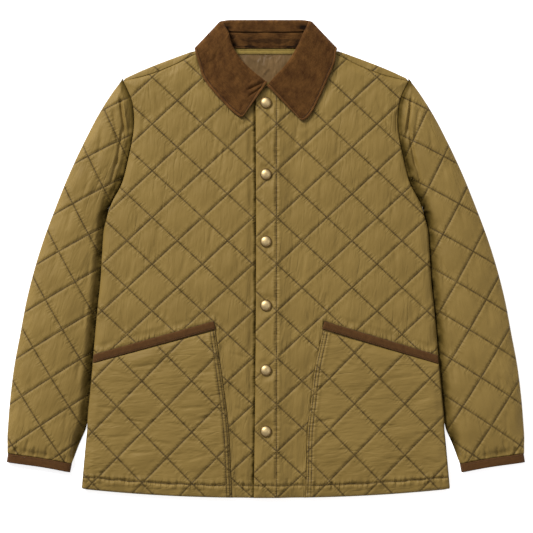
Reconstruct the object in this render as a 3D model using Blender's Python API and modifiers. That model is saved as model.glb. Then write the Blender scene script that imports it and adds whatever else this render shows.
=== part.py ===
"""A diamond-quilted jacket with a corduroy collar, buttoned up and laid flat on its back.

Every size below is in millimetres, and the meshes are made in metres. X runs across the jacket
towards the wearer's left, Y from the hem to the collar, Z up from the surface that it lies on.
"""

import math

import bmesh
import bpy
import numpy as np
from mathutils import Vector
from mathutils.geometry import delaunay_2d_cdt

MM = 0.001

# Cloth
WALL = 3.0  # quilted cloth at a stitch line
BACK_WALL = 3.7
PUFF = 3.4  # how far the wadding stands up between the stitch lines
SEAM = 0.35  # clear space between two pieces at a seam
BINDING_RISE = 1.0
CORD_WALL = 2.4  # corduroy, two layers
LINING_WALL = 0.9

# The lie of the body on the surface
CROWN = 3.4  # how far the fronts stand off the back in the middle
CROWN_MID_Y = -20.0
CROWN_HALF_LENGTH = 372.0
FALL_ROOM = 2.9  # how far the neck is lifted by the collar under it
FALL_ROOM_FADE = 40.0

# Body outline, wearer's left half: x, y
HEM_MID_Y = -382.4
HEM_RISE = 14.4  # how much higher the hem lies at the side seam
HEM_POWER = 2.2
SIDE_EDGE = [(294.6, -366.0), (289.6, -310.4), (284.3, -256.0), (278.9, -201.6), (274.1, -147.2),
             (268.0, -79.4), (263.2, -33.6), (260.8, 6.4), (256.7, 54.4)]
ARMHOLE = [(256.7, 54.4), (249.3, 85.4), (230.9, 122.1), (220.6, 161.6), (216.0, 183.2),
           (211.4, 225.6), (215.2, 255.2), (228.5, 284.8)]
SHOULDER_SEAM = [(228.5, 284.8), (188.5, 294.4), (143.7, 312.0), (111.7, 328.0), (92.0, 336.0)]
SHOULDER_TOP = [(226.5, 289.2), (198.1, 302.4), (166.1, 315.2), (130.9, 328.0), (118.0, 332.2),
                (108.0, 333.8), (97.0, 338.4)]
BACK_NECK_Y = 341.0
FRONT_NECK = [(92.0, 336.0), (85.0, 327.5), (74.5, 316.0), (58.0, 301.0), (38.0, 288.0),
              (16.0, 279.5), (0.0, 277.0)]
SHOULDER_ROLL = 9.0
EDGE_ROLL = 6.0

# Front edges: y, x
PLACKET_EDGE = [(279.0, -16.6), (100.0, -15.6), (-60.0, -15.8), (-230.0, -17.2), (-382.0, -19.2)]
UNDERLAP_X = 14.0
PLACKET_STITCH_X = 17.0
STEP_DOWN = 30.0  # how far the overlap takes to come down to the cloth beside it

HEM_BAND = 19.7
STITCH_DEPTH = 1.6
STITCH_HALF = 4.0

# Quilting: node x, node y, pitch across, pitch along
BODY_QUILT_LEFT = (17.9, -83.2, 80.0, 74.8)
BODY_QUILT_RIGHT = (20.8, -83.2, 80.5, 74.8)
POCKET_QUILT_LEFT = (141.9, -231.8, 80.5, 81.8)
POCKET_QUILT_RIGHT = (158.2, -236.0, 79.7, 81.6)
SLEEVE_BEND_CENTRE = (-3405.0, -1056.0)
SLEEVE_BEND_RADIUS = 3886.0
SLEEVE_BEND_START = 0.3194
SLEEVE_PITCH_ALONG = 79.6
SLEEVE_PITCH_ACROSS = 77.3
CELLS = 4  # relief points along one side of a diamond
EDGE_FADE = 14.0  # how far from a cut edge the swell reaches its height
PRESS_FADE = 13.0  # the same, from what lies on the cloth
STITCH_FADE = 12.0  # the same, from the hem's stitch line
RIM_PITCH = 12.0
RIM_OFFSET = 1.6

# Sleeve: x, y
SLEEVE_OUTER = [(228.2, 289.6), (238.4, 276.8), (264.0, 238.4), (291.2, 187.2), (315.2, 136.0),
                (336.0, 84.8), (355.2, 33.6), (371.2, -17.6), (384.0, -68.8), (393.6, -120.0),
                (403.2, -171.2), (409.6, -222.4), (412.8, -260.8), (414.4, -290.0),
                (413.2, -311.2)]
CUFF_SEAM = [(413.2, -311.2), (342.9, -321.4), (310.7, -327.8)]
SLEEVE_FREE_INNER = [(310.7, -327.8), (301.0, -301.0), (288.9, -273.0)]
SLEEVE_BY_BODY = 1.2  # clear space between the sleeve and the side of the body
SLEEVE_LOWER = 3.0
SLEEVE_HOLLOW = 2.6
SLEEVE_WALL = 3.2
SLEEVE_CROWN = 4.0
SLEEVE_PUFF = 3.8
SLEEVE_ROLL = 15.0
VALLEY_WIDTH = 17.0  # how far the sleeve takes to rise beside the body
VALLEY_REACH = 24.0  # where that rise stops, past the ends of the side edge
VALLEY_FADE = 6.0
CUFF_BAND = 14.2
HOLLOW_INSET = 9.0
HOLLOW_REACH = (258.6, -362.7)  # y, past the armhole and past the cuff

# Pockets: inner edge x, y, and the ends of the mouth's lower line
POCKET_LEFT = {
    "inner": [(91.5, -115.0), (77.9, -180.2), (72.3, -228.8), (67.0, -275.2), (65.8, -332.8),
              (64.3, -382.0)],
    "mouth": [(91.5, -112.5), (276.0, -168.0)],
    "quilt": POCKET_QUILT_LEFT,
}
POCKET_RIGHT = {
    "inner": [(81.4, -114.7), (68.5, -201.6), (60.2, -270.4), (56.2, -348.8), (54.7, -382.0)],
    "mouth": [(81.4, -112.5), (274.4, -166.0)],
    "quilt": POCKET_QUILT_RIGHT,
}
POCKET_WALL = 2.2
POCKET_PUFF = 3.2
POCKET_INSET = 0.7
MOUTH_BAND = 13.6

# Snap caps
SNAP_X = 0.0
SNAP_YS = (249.9, 135.5, 28.3, -73.9, -177.3, -275.2)
SNAP_FLAT = 12.0
SNAP_STEPS = 20
SNAP_PROFILE = [(0.0, 4.6), (3.4, 4.3), (6.2, 3.1), (7.6, 1.7), (8.4, 1.9), (9.1, 1.2),
                (8.8, 0.0), (0.0, 0.0)]

# Collar. A station goes from the fold to the free edge:
# fold x, y, z; edge x, y, z; turn in degrees; depth of the inner leg; radius of the fold
COLLAR_BACK = [
    (0.0, 381.8, 1.3, 0.0, 322.0, 1.3, 0, 19.0, 3.4),
    (30.0, 381.8, 1.3, 37.0, 321.0, 1.3, 0, 19.0, 3.4),
    (56.0, 381.8, 1.3, 74.0, 321.5, 1.3, 4, 18.5, 3.4),
    (66.5, 381.6, 2.0, 103.0, 340.0, 1.4, 24, 18.0, 3.3),
    (71.5, 380.8, 6.5, 113.0, 337.0, 7.0, 86, 17.0, 3.2),
    (69.6, 377.8, 14.5, 112.2, 329.6, 15.0, 150, 14.0, 3.0),
]
COLLAR_FRONT_LEFT = [
    (62.2, 362.4, 19.5, 109.6, 313.0, 12.6, 176, 11.0, 3.0),
    (52.5, 341.5, 19.5, 100.0, 290.0, 10.8, 180, 9.0, 2.8),
    (42.0, 322.5, 19.0, 87.5, 262.0, 10.8, 180, 7.5, 2.5),
    (27.5, 303.4, 18.2, 75.0, 237.0, 11.0, 180, 6.0, 2.1),
    (14.0, 289.6, 17.6, 67.5, 226.5, 11.4, 180, 4.5, 1.8),
    (2.6, 275.6, 17.2, 58.7, 219.4, 11.8, 180, 3.0, 1.6),
]
COLLAR_FRONT_RIGHT = [
    (61.0, 362.4, 19.5, 107.0, 312.0, 12.6, 176, 11.0, 3.0),
    (54.0, 339.0, 19.5, 99.4, 288.0, 10.8, 180, 9.0, 2.8),
    (40.2, 317.3, 19.0, 81.8, 265.3, 10.8, 180, 7.5, 2.5),
    (24.5, 301.6, 18.2, 61.0, 243.0, 11.2, 180, 6.0, 2.1),
    (10.5, 290.4, 17.6, 49.0, 232.0, 11.6, 180, 4.5, 1.8),
    (-2.0, 281.0, 17.2, 38.6, 224.5, 12.2, 180, 3.0, 1.6),
]
# Neck edge of the stand, one point for each station: x, y, z
STAND_BACK = [(0.0, 337.2, 8.1), (27.0, 337.2, 8.1), (52.0, 337.4, 8.1), (66.0, 338.0, 8.2),
              (77.0, 338.2, 8.6), (83.5, 334.0, 9.0)]
STAND_FRONT_LEFT = [(80.0, 324.0, 8.8), (67.5, 311.0, 8.0), (54.5, 299.6, 7.8),
                    (38.5, 290.0, 8.6), (22.5, 283.8, 13.2), (9.0, 273.0, 13.9)]
STAND_FRONT_RIGHT = [(80.0, 324.0, 8.8), (67.5, 311.0, 8.0), (54.0, 299.2, 7.8),
                     (36.0, 287.8, 7.8), (17.5, 284.0, 11.0), (1.6, 275.9, 13.9)]
STAND_WALL = 2.2

TAPE = {"half": 62.0, "low": 327.6, "high": 335.6, "wall": 1.0}
LINING_POINTS = [(64.0, 335.6), (60.0, 319.0), (45.0, 303.0), (28.0, 292.0), (10.0, 283.0),
                 (0.0, 281.4)]

COLOURS = {  # red, green, blue in linear light; roughness; metallic
    "quilted shell": ((0.27, 0.20, 0.065), 0.5, 0.0),
    "corduroy": ((0.098, 0.040, 0.014), 0.95, 0.0),
    "binding": ((0.085, 0.033, 0.013), 0.85, 0.0),
    "lining": ((0.19, 0.135, 0.08), 0.55, 0.0),
    "neck tape": ((0.28, 0.22, 0.06), 0.7, 0.0),
    "brass": ((0.72, 0.56, 0.33), 0.28, 1.0),
}


# Curves and plan geometry

def through(points, spacing):
    """A smooth line through the points, resampled about every spacing."""
    knots = np.array(points, float)
    chord = np.r_[0, np.cumsum(np.linalg.norm(np.diff(knots, axis=0), axis=1))]
    slope = np.gradient(knots, chord, axis=0)
    place = np.linspace(0, chord[-1], max(1, round(chord[-1] / spacing)) + 1)
    k = np.clip(np.searchsorted(chord, place, side="right") - 1, 0, len(knots) - 2)
    step = (chord[k + 1] - chord[k])[:, None]
    t = (place - chord[k])[:, None] / step
    return ((2 * t**3 - 3 * t**2 + 1) * knots[k] + (t**3 - 2 * t**2 + t) * step * slope[k]
            + (3 * t**2 - 2 * t**3) * knots[k + 1] + (t**3 - t**2) * step * slope[k + 1])


def chain(*lines):
    """Joins lines end to end, leaving out a point that repeats the one before it."""
    points = np.vstack(lines)
    keep = np.linalg.norm(points - np.roll(points, 1, axis=0), axis=1) > 0.05
    return points[keep]


def mirrored(points):
    """The same line on the other side of the jacket, run the other way round."""
    return np.array(points, float)[::-1] * (-1, 1)


def smooth(t):
    t = np.clip(t, 0, 1)
    return t * t * (3 - 2 * t)


def inside(points, outline):
    """Whether each point lies in the closed outline, by counting crossings."""
    x, y = points[:, 0:1], points[:, 1:2]
    ax, ay = outline.T
    bx, by = np.roll(outline, -1, axis=0).T
    crossing = (ay > y) != (by > y)
    with np.errstate(divide="ignore", invalid="ignore"):
        at = ax + (y - ay) * (bx - ax) / (by - ay)
    return (crossing & (x < at)).sum(axis=1) % 2 == 1


def distance(points, line, closed=True):
    """The distance from each point to a line in plan."""
    start = line if closed else line[:-1]
    end = np.roll(line, -1, axis=0) if closed else line[1:]
    run = end - start
    offset = points[:, None] - start
    t = np.clip((offset * run).sum(-1) / np.maximum((run**2).sum(-1), 1e-9), 0, 1)
    return np.linalg.norm(offset - t[..., None] * run, axis=-1).min(axis=1)


def inset(outline, depth):
    """The points of the outline moved inwards, leaving out those that come too near it."""
    ahead = np.roll(outline, -1, axis=0) - np.roll(outline, 1, axis=0)
    inward = np.stack([-ahead[:, 1], ahead[:, 0]], axis=1)
    moved = outline + depth * inward / np.linalg.norm(inward, axis=1)[:, None]
    near = distance(moved, outline) < 0.85 * depth
    return moved[inside(moved, outline) & ~near]


def clear_of(points, outline, margin):
    return points[inside(points, outline) & (distance(points, outline) >= margin)]


def grid(outline, pitch, margin):
    """Evenly spaced points inside the outline."""
    low, high = outline.min(axis=0), outline.max(axis=0)
    xs = np.arange(math.ceil(low[0] / pitch), high[0] / pitch) * pitch
    ys = np.arange(math.ceil(low[1] / pitch), high[1] / pitch) * pitch
    return clear_of(np.stack(np.meshgrid(xs, ys), -1).reshape(-1, 2), outline, margin)


# The lie of the cloth

def hem_y(x):
    return HEM_MID_Y + HEM_RISE * (np.abs(x) / SIDE_EDGE[0][0])**HEM_POWER


def half_width(y):
    xs, ys = np.array(SIDE_EDGE + ARMHOLE[1:]).T
    return np.interp(y, ys, xs)


def crown(points):
    """The gentle rise of the upper layers towards the middle of the body."""
    across = 1 - (points[:, 0] / half_width(points[:, 1]))**2
    along = 1 - ((points[:, 1] - CROWN_MID_Y) / CROWN_HALF_LENGTH)**2
    return CROWN * np.clip(across, 0, 1) * np.clip(along, 0, 1)


def fall_room(points):
    """The rise of the neck over the part of the collar that lies under it."""
    edge = np.array([station[3:5] for station in COLLAR_BACK[:5]])
    fold = np.array([station[0:2] for station in COLLAR_BACK[:5]])
    half = np.vstack([edge, fold[::-1]])
    area = np.vstack([half, mirrored(half)])
    far = np.where(inside(points, area), 0, distance(points, area) - 3)
    return FALL_ROOM * (1 - smooth(far / FALL_ROOM_FADE))


def back_top(points):
    return BACK_WALL + fall_room(points)


def front_under(points):
    return back_top(points) + SEAM + crown(points)


def front_plain(points):
    """The fronts' outer face at a stitch line."""
    return front_under(points) + WALL


def overlap_rise(points):
    """How far the placket is lifted by the front under it."""
    return (WALL + SEAM) * (1 - smooth((points[:, 0] - UNDERLAP_X - 3) / STEP_DOWN))


def roll(points, outline, radius):
    """How far the cloth has dropped near an edge, from 1 at the edge to 0 inside the radius."""
    depth = np.clip(distance(points, outline) / radius, 0, 1)
    return 1 - np.sqrt(1 - (1 - depth)**2)


def straight_quilt(points, quilt):
    x0, y0, across, along = quilt
    a = (points[:, 0] - x0) / across
    b = (points[:, 1] - y0) / along
    return a + b, a - b


def straight_nodes(outline, quilt):
    """Relief points on a lattice of diamonds, CELLS to a side."""
    x0, y0, across, along = quilt
    reach = math.ceil(1000 / min(across, along)) * CELLS
    u, v = np.meshgrid(np.arange(-reach, reach + 1), np.arange(-reach, reach + 1))
    a, b = (u + v).ravel() / CELLS / 2, (u - v).ravel() / CELLS / 2
    points = np.stack([x0 + across * a, y0 + along * b], axis=1)
    low, high = outline.min(axis=0), outline.max(axis=0)
    return points[((points > low) & (points < high)).all(axis=1)]


def bent_quilt(points):
    offset = points - SLEEVE_BEND_CENTRE
    radius = np.linalg.norm(offset, axis=1)
    turn = np.arctan2(offset[:, 1], offset[:, 0])
    along = SLEEVE_BEND_RADIUS * (SLEEVE_BEND_START - turn) / SLEEVE_PITCH_ALONG
    across = (SLEEVE_BEND_RADIUS - radius) / SLEEVE_PITCH_ACROSS
    return along + across, along - across


def bent_nodes(outline):
    """Relief points on the lattice of a sleeve, which bends with the arm."""
    reach = 12 * CELLS
    u, v = np.meshgrid(np.arange(-reach, reach + 1), np.arange(-reach, reach + 1))
    along, across = (u + v).ravel() / CELLS / 2, (u - v).ravel() / CELLS / 2
    radius = SLEEVE_BEND_RADIUS - SLEEVE_PITCH_ACROSS * across
    turn = SLEEVE_BEND_START - SLEEVE_PITCH_ALONG * along / SLEEVE_BEND_RADIUS
    points = np.stack([radius * np.cos(turn), radius * np.sin(turn)], 1) + SLEEVE_BEND_CENTRE
    low, high = outline.min(axis=0), outline.max(axis=0)
    return points[((points > low) & (points < high)).all(axis=1)]


def puff(u, v):
    """The swell of one diamond: nothing on its four stitch lines, one at its middle."""
    return np.sqrt(np.abs(np.sin(math.pi * u) * np.sin(math.pi * v)))


def groove(points, stitch_y):
    return STITCH_DEPTH * np.clip(1 - np.abs(points[:, 1] - stitch_y) / STITCH_HALF, 0, 1)


# Solids

def plan_triangles(outline, points, ties=()):
    """Triangles between an outline, the points inside it and the edges that tie some of them."""
    count = len(outline)
    every = [Vector(p) for p in np.vstack([outline, points])]
    edges = [(i, (i + 1) % count) for i in range(count)]
    edges += [(count + a, count + b) for a, b in ties]
    found, _, faces, origins, _, _ = delaunay_2d_cdt(every, edges, [], 1, 1e-5)
    source = [min(origin) for origin in origins]
    return [[source[i] for i in face] for face in faces]


def counter_clockwise(outline):
    ahead = np.roll(outline, -1, axis=0)
    area = (outline[:, 0] * ahead[:, 1] - ahead[:, 0] * outline[:, 1]).sum()
    return outline if area > 0 else outline[::-1]


def spaced(points, gap):
    """Leaves out a point that lies nearer than the gap to an earlier one."""
    kept = []
    for point in points:
        if not kept or np.linalg.norm(np.array(kept) - point, axis=1).min() >= gap:
            kept.append(point)
    return np.array(kept)


def panel(outline, points, top, under_points, under, ties=()):
    """A sheet of cloth: an outer face with its relief, a plain inner face and the rim."""
    count = len(outline)
    upper = np.vstack([outline, points])
    lower = np.vstack([outline, under_points])
    up_faces = plan_triangles(outline, points, ties)
    down_faces = plan_triangles(outline, under_points)
    base = len(upper)
    verts = np.vstack([np.column_stack([upper, top(upper)]),
                       np.column_stack([lower, under(lower)])])
    faces = [tuple(face) for face in up_faces]
    faces += [tuple(base + i for i in reversed(face)) for face in down_faces]
    faces += [(i, base + i, base + (i + 1) % count, (i + 1) % count) for i in range(count)]
    return verts, faces


def swept(sections):
    """A solid through closed sections with the same number of points, capped at both ends."""
    rows, size = len(sections), len(sections[0])
    verts = np.vstack(sections)
    faces = []
    for row in range(rows - 1):
        for i in range(size):
            j = (i + 1) % size
            faces.append((row * size + i, row * size + j, (row + 1) * size + j,
                          (row + 1) * size + i))
    faces.append(tuple(range(size))[::-1])
    faces.append(tuple((rows - 1) * size + i for i in range(size)))
    return verts, faces


def material(name):
    colour, roughness, metallic = COLOURS[name]
    found = bpy.data.materials.get(name)
    if found:
        return found
    made = bpy.data.materials.new(name)
    made.use_nodes = True
    made.diffuse_color = (*colour, 1)
    shader = made.node_tree.nodes["Principled BSDF"]
    shader.inputs["Base Color"].default_value = (*colour, 1)
    shader.inputs["Roughness"].default_value = roughness
    shader.inputs["Metallic"].default_value = metallic
    return made


def add(name, verts, faces, finish, collection):
    """Makes the object, from millimetres, with its faces out and no loose points."""
    mesh = bpy.data.meshes.new(name)
    mesh.from_pydata((np.asarray(verts) * MM).tolist(), [], faces)
    shape = bmesh.new()
    shape.from_mesh(mesh)
    bmesh.ops.delete(shape, geom=[v for v in shape.verts if not v.link_faces], context="VERTS")
    bmesh.ops.triangulate(shape, faces=shape.faces[:])
    bmesh.ops.recalc_face_normals(shape, faces=shape.faces[:])
    shape.to_mesh(mesh)
    shape.free()
    mesh.shade_smooth()
    mesh.set_sharp_from_angle(angle=math.radians(50))
    mesh.materials.append(material(finish))
    made = bpy.data.objects.new(name, mesh)
    collection.objects.link(made)
    return made


# Outlines

def side_and_armhole():
    side = through(SIDE_EDGE, 24)
    armhole = through(ARMHOLE, 15)
    return side, armhole


def hem_line(start_x, end_x, spacing=22):
    xs = np.linspace(start_x, end_x, max(2, round(abs(end_x - start_x) / spacing)) + 1)
    return np.stack([xs, hem_y(xs)], axis=1)


def placket_edge():
    ys, xs = np.array(PLACKET_EDGE).T
    return through(np.stack([xs, ys], axis=1), 22)


def front_outline(side_name):
    """The front's cut edge, counter-clockwise. The left one reaches the placket edge."""
    side, armhole = side_and_armhole()
    seam = through(SHOULDER_SEAM, 18)
    neck = through(FRONT_NECK, 12)
    if side_name == "left":
        edge = placket_edge()
        edge[-1, 1] = hem_y(edge[-1, 0])
        hem = hem_line(edge[-1, 0], SIDE_EDGE[0][0] - 5)
        return counter_clockwise(chain(hem, side, armhole, seam, neck, edge))
    hem = hem_line(UNDERLAP_X, -SIDE_EDGE[0][0] + 5)
    edge = np.array([(UNDERLAP_X, y) for y in np.linspace(277.0, HEM_MID_Y, 30)])
    half = chain(side, armhole, seam, neck) * (-1, 1)
    return counter_clockwise(chain(hem, half, edge))


def back_outline():
    side, armhole = side_and_armhole()
    top = through(SHOULDER_TOP, 18)
    neck = np.array([(x, BACK_NECK_Y) for x in (78.0, 52.0, 26.0)])
    half = chain(hem_line(24, SIDE_EDGE[0][0] - 5), side, armhole, top, neck)
    middle_top = np.array([(0.0, BACK_NECK_Y)])
    middle_hem = np.array([(0.0, HEM_MID_Y)])
    return counter_clockwise(chain(middle_hem, half, middle_top, mirrored(half)))


def pocket_outline(pocket):
    """The patch pocket below its binding, on the wearer's left half."""
    side = through(SIDE_EDGE, 24) - (POCKET_INSET, 0)
    mouth = np.array(pocket["mouth"])
    inner = through(pocket["inner"], 22)
    inner[-1, 1] = hem_y(inner[-1, 0]) + POCKET_INSET
    hem = hem_line(inner[-1, 0], SIDE_EDGE[0][0] - 5 - POCKET_INSET) + (0, POCKET_INSET)
    slope = (mouth[1] - mouth[0]) / np.linalg.norm(mouth[1] - mouth[0])
    cut = mouth[0, 1] + (side[:, 0] - mouth[0, 0]) * slope[1] / slope[0]
    below = side[side[:, 1] < cut - 6]
    reach = (np.interp(mouth[1, 1], side[:, 1], side[:, 0]) - mouth[0, 0]) / slope[0]
    corner = mouth[0] + slope * reach
    line = np.array([corner + (mouth[0] - corner) * t for t in np.linspace(0, 1, 10)])
    return counter_clockwise(chain(hem, below, line, inner))


def mouth_band(pocket):
    """The plan of the binding on a pocket's mouth, from its inner end to the side seam."""
    start, end = np.array(pocket["mouth"])
    run = (end - start) / np.linalg.norm(end - start)
    up = np.array([-run[1], run[0]])
    side = through(SIDE_EDGE, 24) - (POCKET_INSET, 0)
    rows = []
    for lift in (SEAM, MOUTH_BAND - 0.5):
        base = start + up * lift
        y = base[1]
        for _ in range(8):
            x = np.interp(y, side[:, 1], side[:, 0])
            y = base[1] + (x - base[0]) * run[1] / run[0]
        rows.append((base - run * 1.5, np.array([x, y])))
    return rows


def collar_stations(side_name):
    front = COLLAR_FRONT_LEFT if side_name == "left" else COLLAR_FRONT_RIGHT
    return np.array(COLLAR_BACK + front, float)


def leaf_area(side_name):
    """The plan area that the collar covers on a front, on the positive side."""
    stations = collar_stations(side_name)[5:]
    return np.vstack([stations[:, 0:2], stations[::-1, 3:5]])


# Pieces

def pressed(points, areas):
    """How much of the quilting's swell is left near what lies on it: none under it."""
    left = np.ones(len(points))
    for area in areas:
        gap = np.where(inside(points, area), 0, distance(points, area) - 4)
        left = np.minimum(left, smooth(gap / PRESS_FADE))
    return left


def divided(ring, pitch):
    """A closed line with points put in, so that none are further apart than the pitch."""
    after = np.roll(ring, -1, axis=0)
    runs = [np.linspace(a, b, 1 + math.ceil(np.linalg.norm(b - a) / pitch))[:-1]
            for a, b in zip(ring, after) if np.linalg.norm(b - a) > 0.05]
    return np.vstack(runs)


def rim_points(areas, outline):
    """Points just outside each covered area, where the cloth is still pressed flat."""
    found = []
    for area in areas:
        ring = divided(counter_clockwise(area), RIM_PITCH)
        ahead = np.roll(ring, -1, axis=0) - np.roll(ring, 1, axis=0)
        out = np.stack([ahead[:, 1], -ahead[:, 0]], axis=1)
        found.append(ring + RIM_OFFSET * out / np.linalg.norm(out, axis=1)[:, None])
    return clear_of(np.vstack(found), outline, 2.5)


def snap_press(points):
    left = np.ones(len(points))
    for y in SNAP_YS:
        gap = np.hypot(points[:, 0] - SNAP_X, points[:, 1] - y) - SNAP_FLAT
        left = np.minimum(left, smooth(gap / 10.0))
    return left


def front(side_name, collection):
    left = side_name == "left"
    sign = 1 if left else -1
    flip = np.array((sign, 1.0))
    outline = front_outline(side_name)
    quilt = BODY_QUILT_LEFT if left else BODY_QUILT_RIGHT
    pocket = pocket_outline(POCKET_LEFT if left else POCKET_RIGHT)
    (a, b), (d, c) = mouth_band(POCKET_LEFT if left else POCKET_RIGHT)
    covered = [pocket * flip, np.array([a, b, c, d]) * flip, leaf_area(side_name) * flip]
    if left:
        covered.append(leaf_area("right") * (-1, 1))

    def plain(points):
        rise = overlap_rise(points) if left else 0
        return front_plain(points) + rise

    def top(points):
        u, v = straight_quilt(points * flip, quilt)
        swell = PUFF * puff(u, v) * pressed(points, covered)
        swell = swell * smooth(distance(points, outline) / EDGE_FADE)
        flat = inside(points, counter_clockwise(covered[0])) | (
            distance(points, covered[0]) < 3)
        if left:
            swell = swell * snap_press(points)
            swell = swell * smooth(np.abs(points[:, 0] - PLACKET_STITCH_X) / 6.0)
        else:
            swell = swell * smooth((-22 - points[:, 0]) / 10.0)
        drop = roll(points, outline, EDGE_ROLL) * (WALL - 1.5)
        drop = np.where(flat | (distance(points, covered[1]) < 3), 0, drop)
        if not left:
            drop = np.where(points[:, 0] > -26, 0, drop)
        stitch_y = hem_y(points[:, 0]) + HEM_BAND
        dip = np.where(flat, 0, groove(points, stitch_y))
        swell = swell * smooth(np.abs(points[:, 1] - stitch_y) / STITCH_FADE)
        return plain(points) + swell - drop - dip * 0.8

    def under(points):
        return plain(points) - WALL

    nodes = straight_nodes(outline * flip, quilt) * flip
    nodes = clear_of(nodes, outline, 9.0)
    nodes = nodes[~inside(nodes, covered[0])]
    stitch_x = np.arange(-290.0, 291.0, 15.0)
    stitch = [np.stack([stitch_x, hem_y(stitch_x) + HEM_BAND + o], 1) for o in (-4, 0, 4)]
    stitch = clear_of(np.vstack(stitch), outline, 2.5)
    stitch = stitch[~inside(stitch, covered[0])]
    lines = [rim_points(covered, outline), inset(outline, 2.0), inset(outline, 6.0), stitch]
    if left:
        ys = np.arange(-374.0, 274.0, 16.0)
        lines.append(np.stack([np.full(len(ys), PLACKET_STITCH_X), ys], 1))
        turn = np.arange(9) * math.tau / 9
        around = 11.5 * np.stack([np.cos(turn), np.sin(turn)], 1)
        lines.insert(0, np.vstack([around + (SNAP_X, y) for y in SNAP_YS]))
    relief = spaced(np.vstack(lines + [nodes, grid(outline, 42.0, 12.0)]), 5.0)
    coarse = [grid(outline, 44.0, 14.0)]
    if left:
        ys = np.arange(-372.0, 272.0, 28.0)
        for x in (UNDERLAP_X + 3, UNDERLAP_X + 18, UNDERLAP_X + 33):
            coarse.append(clear_of(np.stack([np.full(len(ys), x), ys], 1), outline, 4.0))
    coarse = spaced(np.vstack(coarse), 9.0)
    verts, faces = panel(outline, relief, top, coarse, under)
    return add("front_" + side_name, verts, faces, "quilted shell", collection)


def back(collection):
    """The back, whose upper edge rolls over the shoulders to the seam in front of them."""
    outline = back_outline()
    seam = through(SHOULDER_SEAM, 18)
    ahead = np.gradient(seam, axis=0)
    out = np.stack([ahead[:, 1], -ahead[:, 0]], axis=1)
    out = out / np.linalg.norm(out, axis=1)[:, None]
    out = out * np.sign(out[:, 1:2])
    foot, lip = seam + out * SEAM, seam + out * (SEAM + 0.4)
    top_line = through(SHOULDER_TOP, 18)
    strip = counter_clockwise(np.vstack([seam + out * (SEAM + 0.2), top_line[::-1]]))

    def top(points):
        right = np.column_stack([np.abs(points[:, 0]), points[:, 1]])
        on_strip = inside(right, strip) | (distance(right, top_line, False) < 0.05)
        full = front_plain(right) - 1.0
        rim = 3.2 + fall_room(right)
        height = rim + (full - rim) * (1 - roll(right, top_line, SHOULDER_ROLL))
        fade = smooth((right[:, 0] - 94.0) / 14.0)
        raised = back_top(right) + (height - back_top(right)) * fade
        return np.where(on_strip, raised, back_top(right))

    lines, ties, count = [], [], 0
    for line in (foot, lip):
        held = clear_of(line, outline, 0.8)
        for run in (held, held * (-1, 1)):
            ties += [(count + i, count + i + 1) for i in range(len(run) - 1)]
            count += len(run)
            lines.append(run)
    mid = clear_of((lip + out * 2.6), outline, 1.2)
    lines += [mid, mid * (-1, 1)]
    near_neck = grid(outline, 12.0, 5.0)
    near_neck = near_neck[(near_neck[:, 1] > 270) & (np.abs(near_neck[:, 0]) < 160)]
    near_strip = np.vstack([seam, seam * (-1, 1)])
    near_neck = near_neck[distance(near_neck, near_strip, False) > 5.0]
    coarse = spaced(np.vstack([near_neck, grid(outline, 44.0, 14.0)]), 10.0)
    coarse = coarse[distance(coarse, near_strip[:len(seam)], False) > 5.0]
    coarse = coarse[distance(coarse, near_strip[len(seam):], False) > 5.0]
    relief = np.vstack(lines + [coarse])
    verts, faces = panel(outline, relief, top, coarse, fall_room, ties)
    return add("back", verts, faces, "quilted shell", collection)


def plain_sheet(name, outline, level, wall, finish, collection, pitch=12.0):
    """A thin sheet that lies on the back."""
    outline = counter_clockwise(outline)
    points = grid(outline, pitch, 5.0)
    verts, faces = panel(outline, points, lambda p: level(p) + wall, points, level)
    return add(name, verts, faces, finish, collection)


def back_lining(collection):
    half = through(LINING_POINTS, 9)
    outline = chain(half, mirrored(half))
    plain_sheet("back_lining", outline, lambda p: back_top(p) + SEAM, LINING_WALL, "lining",
                collection)


def neck_tape(collection):
    xs = np.linspace(-TAPE["half"], TAPE["half"], 9)
    low = np.stack([xs, np.full(9, TAPE["low"])], axis=1)
    high = np.stack([xs[::-1], np.full(9, TAPE["high"])], axis=1)
    plain_sheet("neck_tape", chain(low, high),
                lambda p: back_top(p) + SEAM + LINING_WALL + SEAM, TAPE["wall"], "neck tape",
                collection)


def sleeve_outline():
    """The sleeve in plan, on the wearer's left side."""
    armhole = through(ARMHOLE, 15)
    ahead = np.gradient(armhole, axis=0)
    out = np.stack([ahead[:, 1], -ahead[:, 0]], axis=1)
    armhole = armhole + SEAM * 1.4 * out / np.linalg.norm(out, axis=1)[:, None]
    side = through(SIDE_EDGE, 24) + (SLEEVE_BY_BODY, 0)
    beside = side[(side[:, 1] > -262.0) & (side[:, 1] < 46.0)]
    outer = through(SLEEVE_OUTER, 20)
    cuff = through(CUFF_SEAM, 16)
    free = through(SLEEVE_FREE_INNER, 16)
    return counter_clockwise(chain(beside, armhole, outer, cuff, free))


def sleeve_profile(points, outline, open_ends):
    """The height of a sleeve's outer face at a stitch line."""
    depth = distance(points, outline)
    full = SLEEVE_LOWER + SLEEVE_HOLLOW + SLEEVE_WALL
    rise = SLEEVE_CROWN * smooth(depth / 55.0)
    edge = np.where(distance(points, open_ends[0], False) < 4.0, 7.0, 2.2)
    edge = np.where(distance(points, open_ends[1], False) < 4.0, 7.6, edge)
    bend = 1 - roll(points, outline, SLEEVE_ROLL)
    to_side = distance(points, through(SIDE_EDGE, 24), False)
    valley = np.minimum(bend, smooth(depth / VALLEY_WIDTH))
    bend = bend + (valley - bend) * smooth((VALLEY_REACH - to_side) / VALLEY_FADE)
    return edge + (full - edge) * bend + rise


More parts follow.
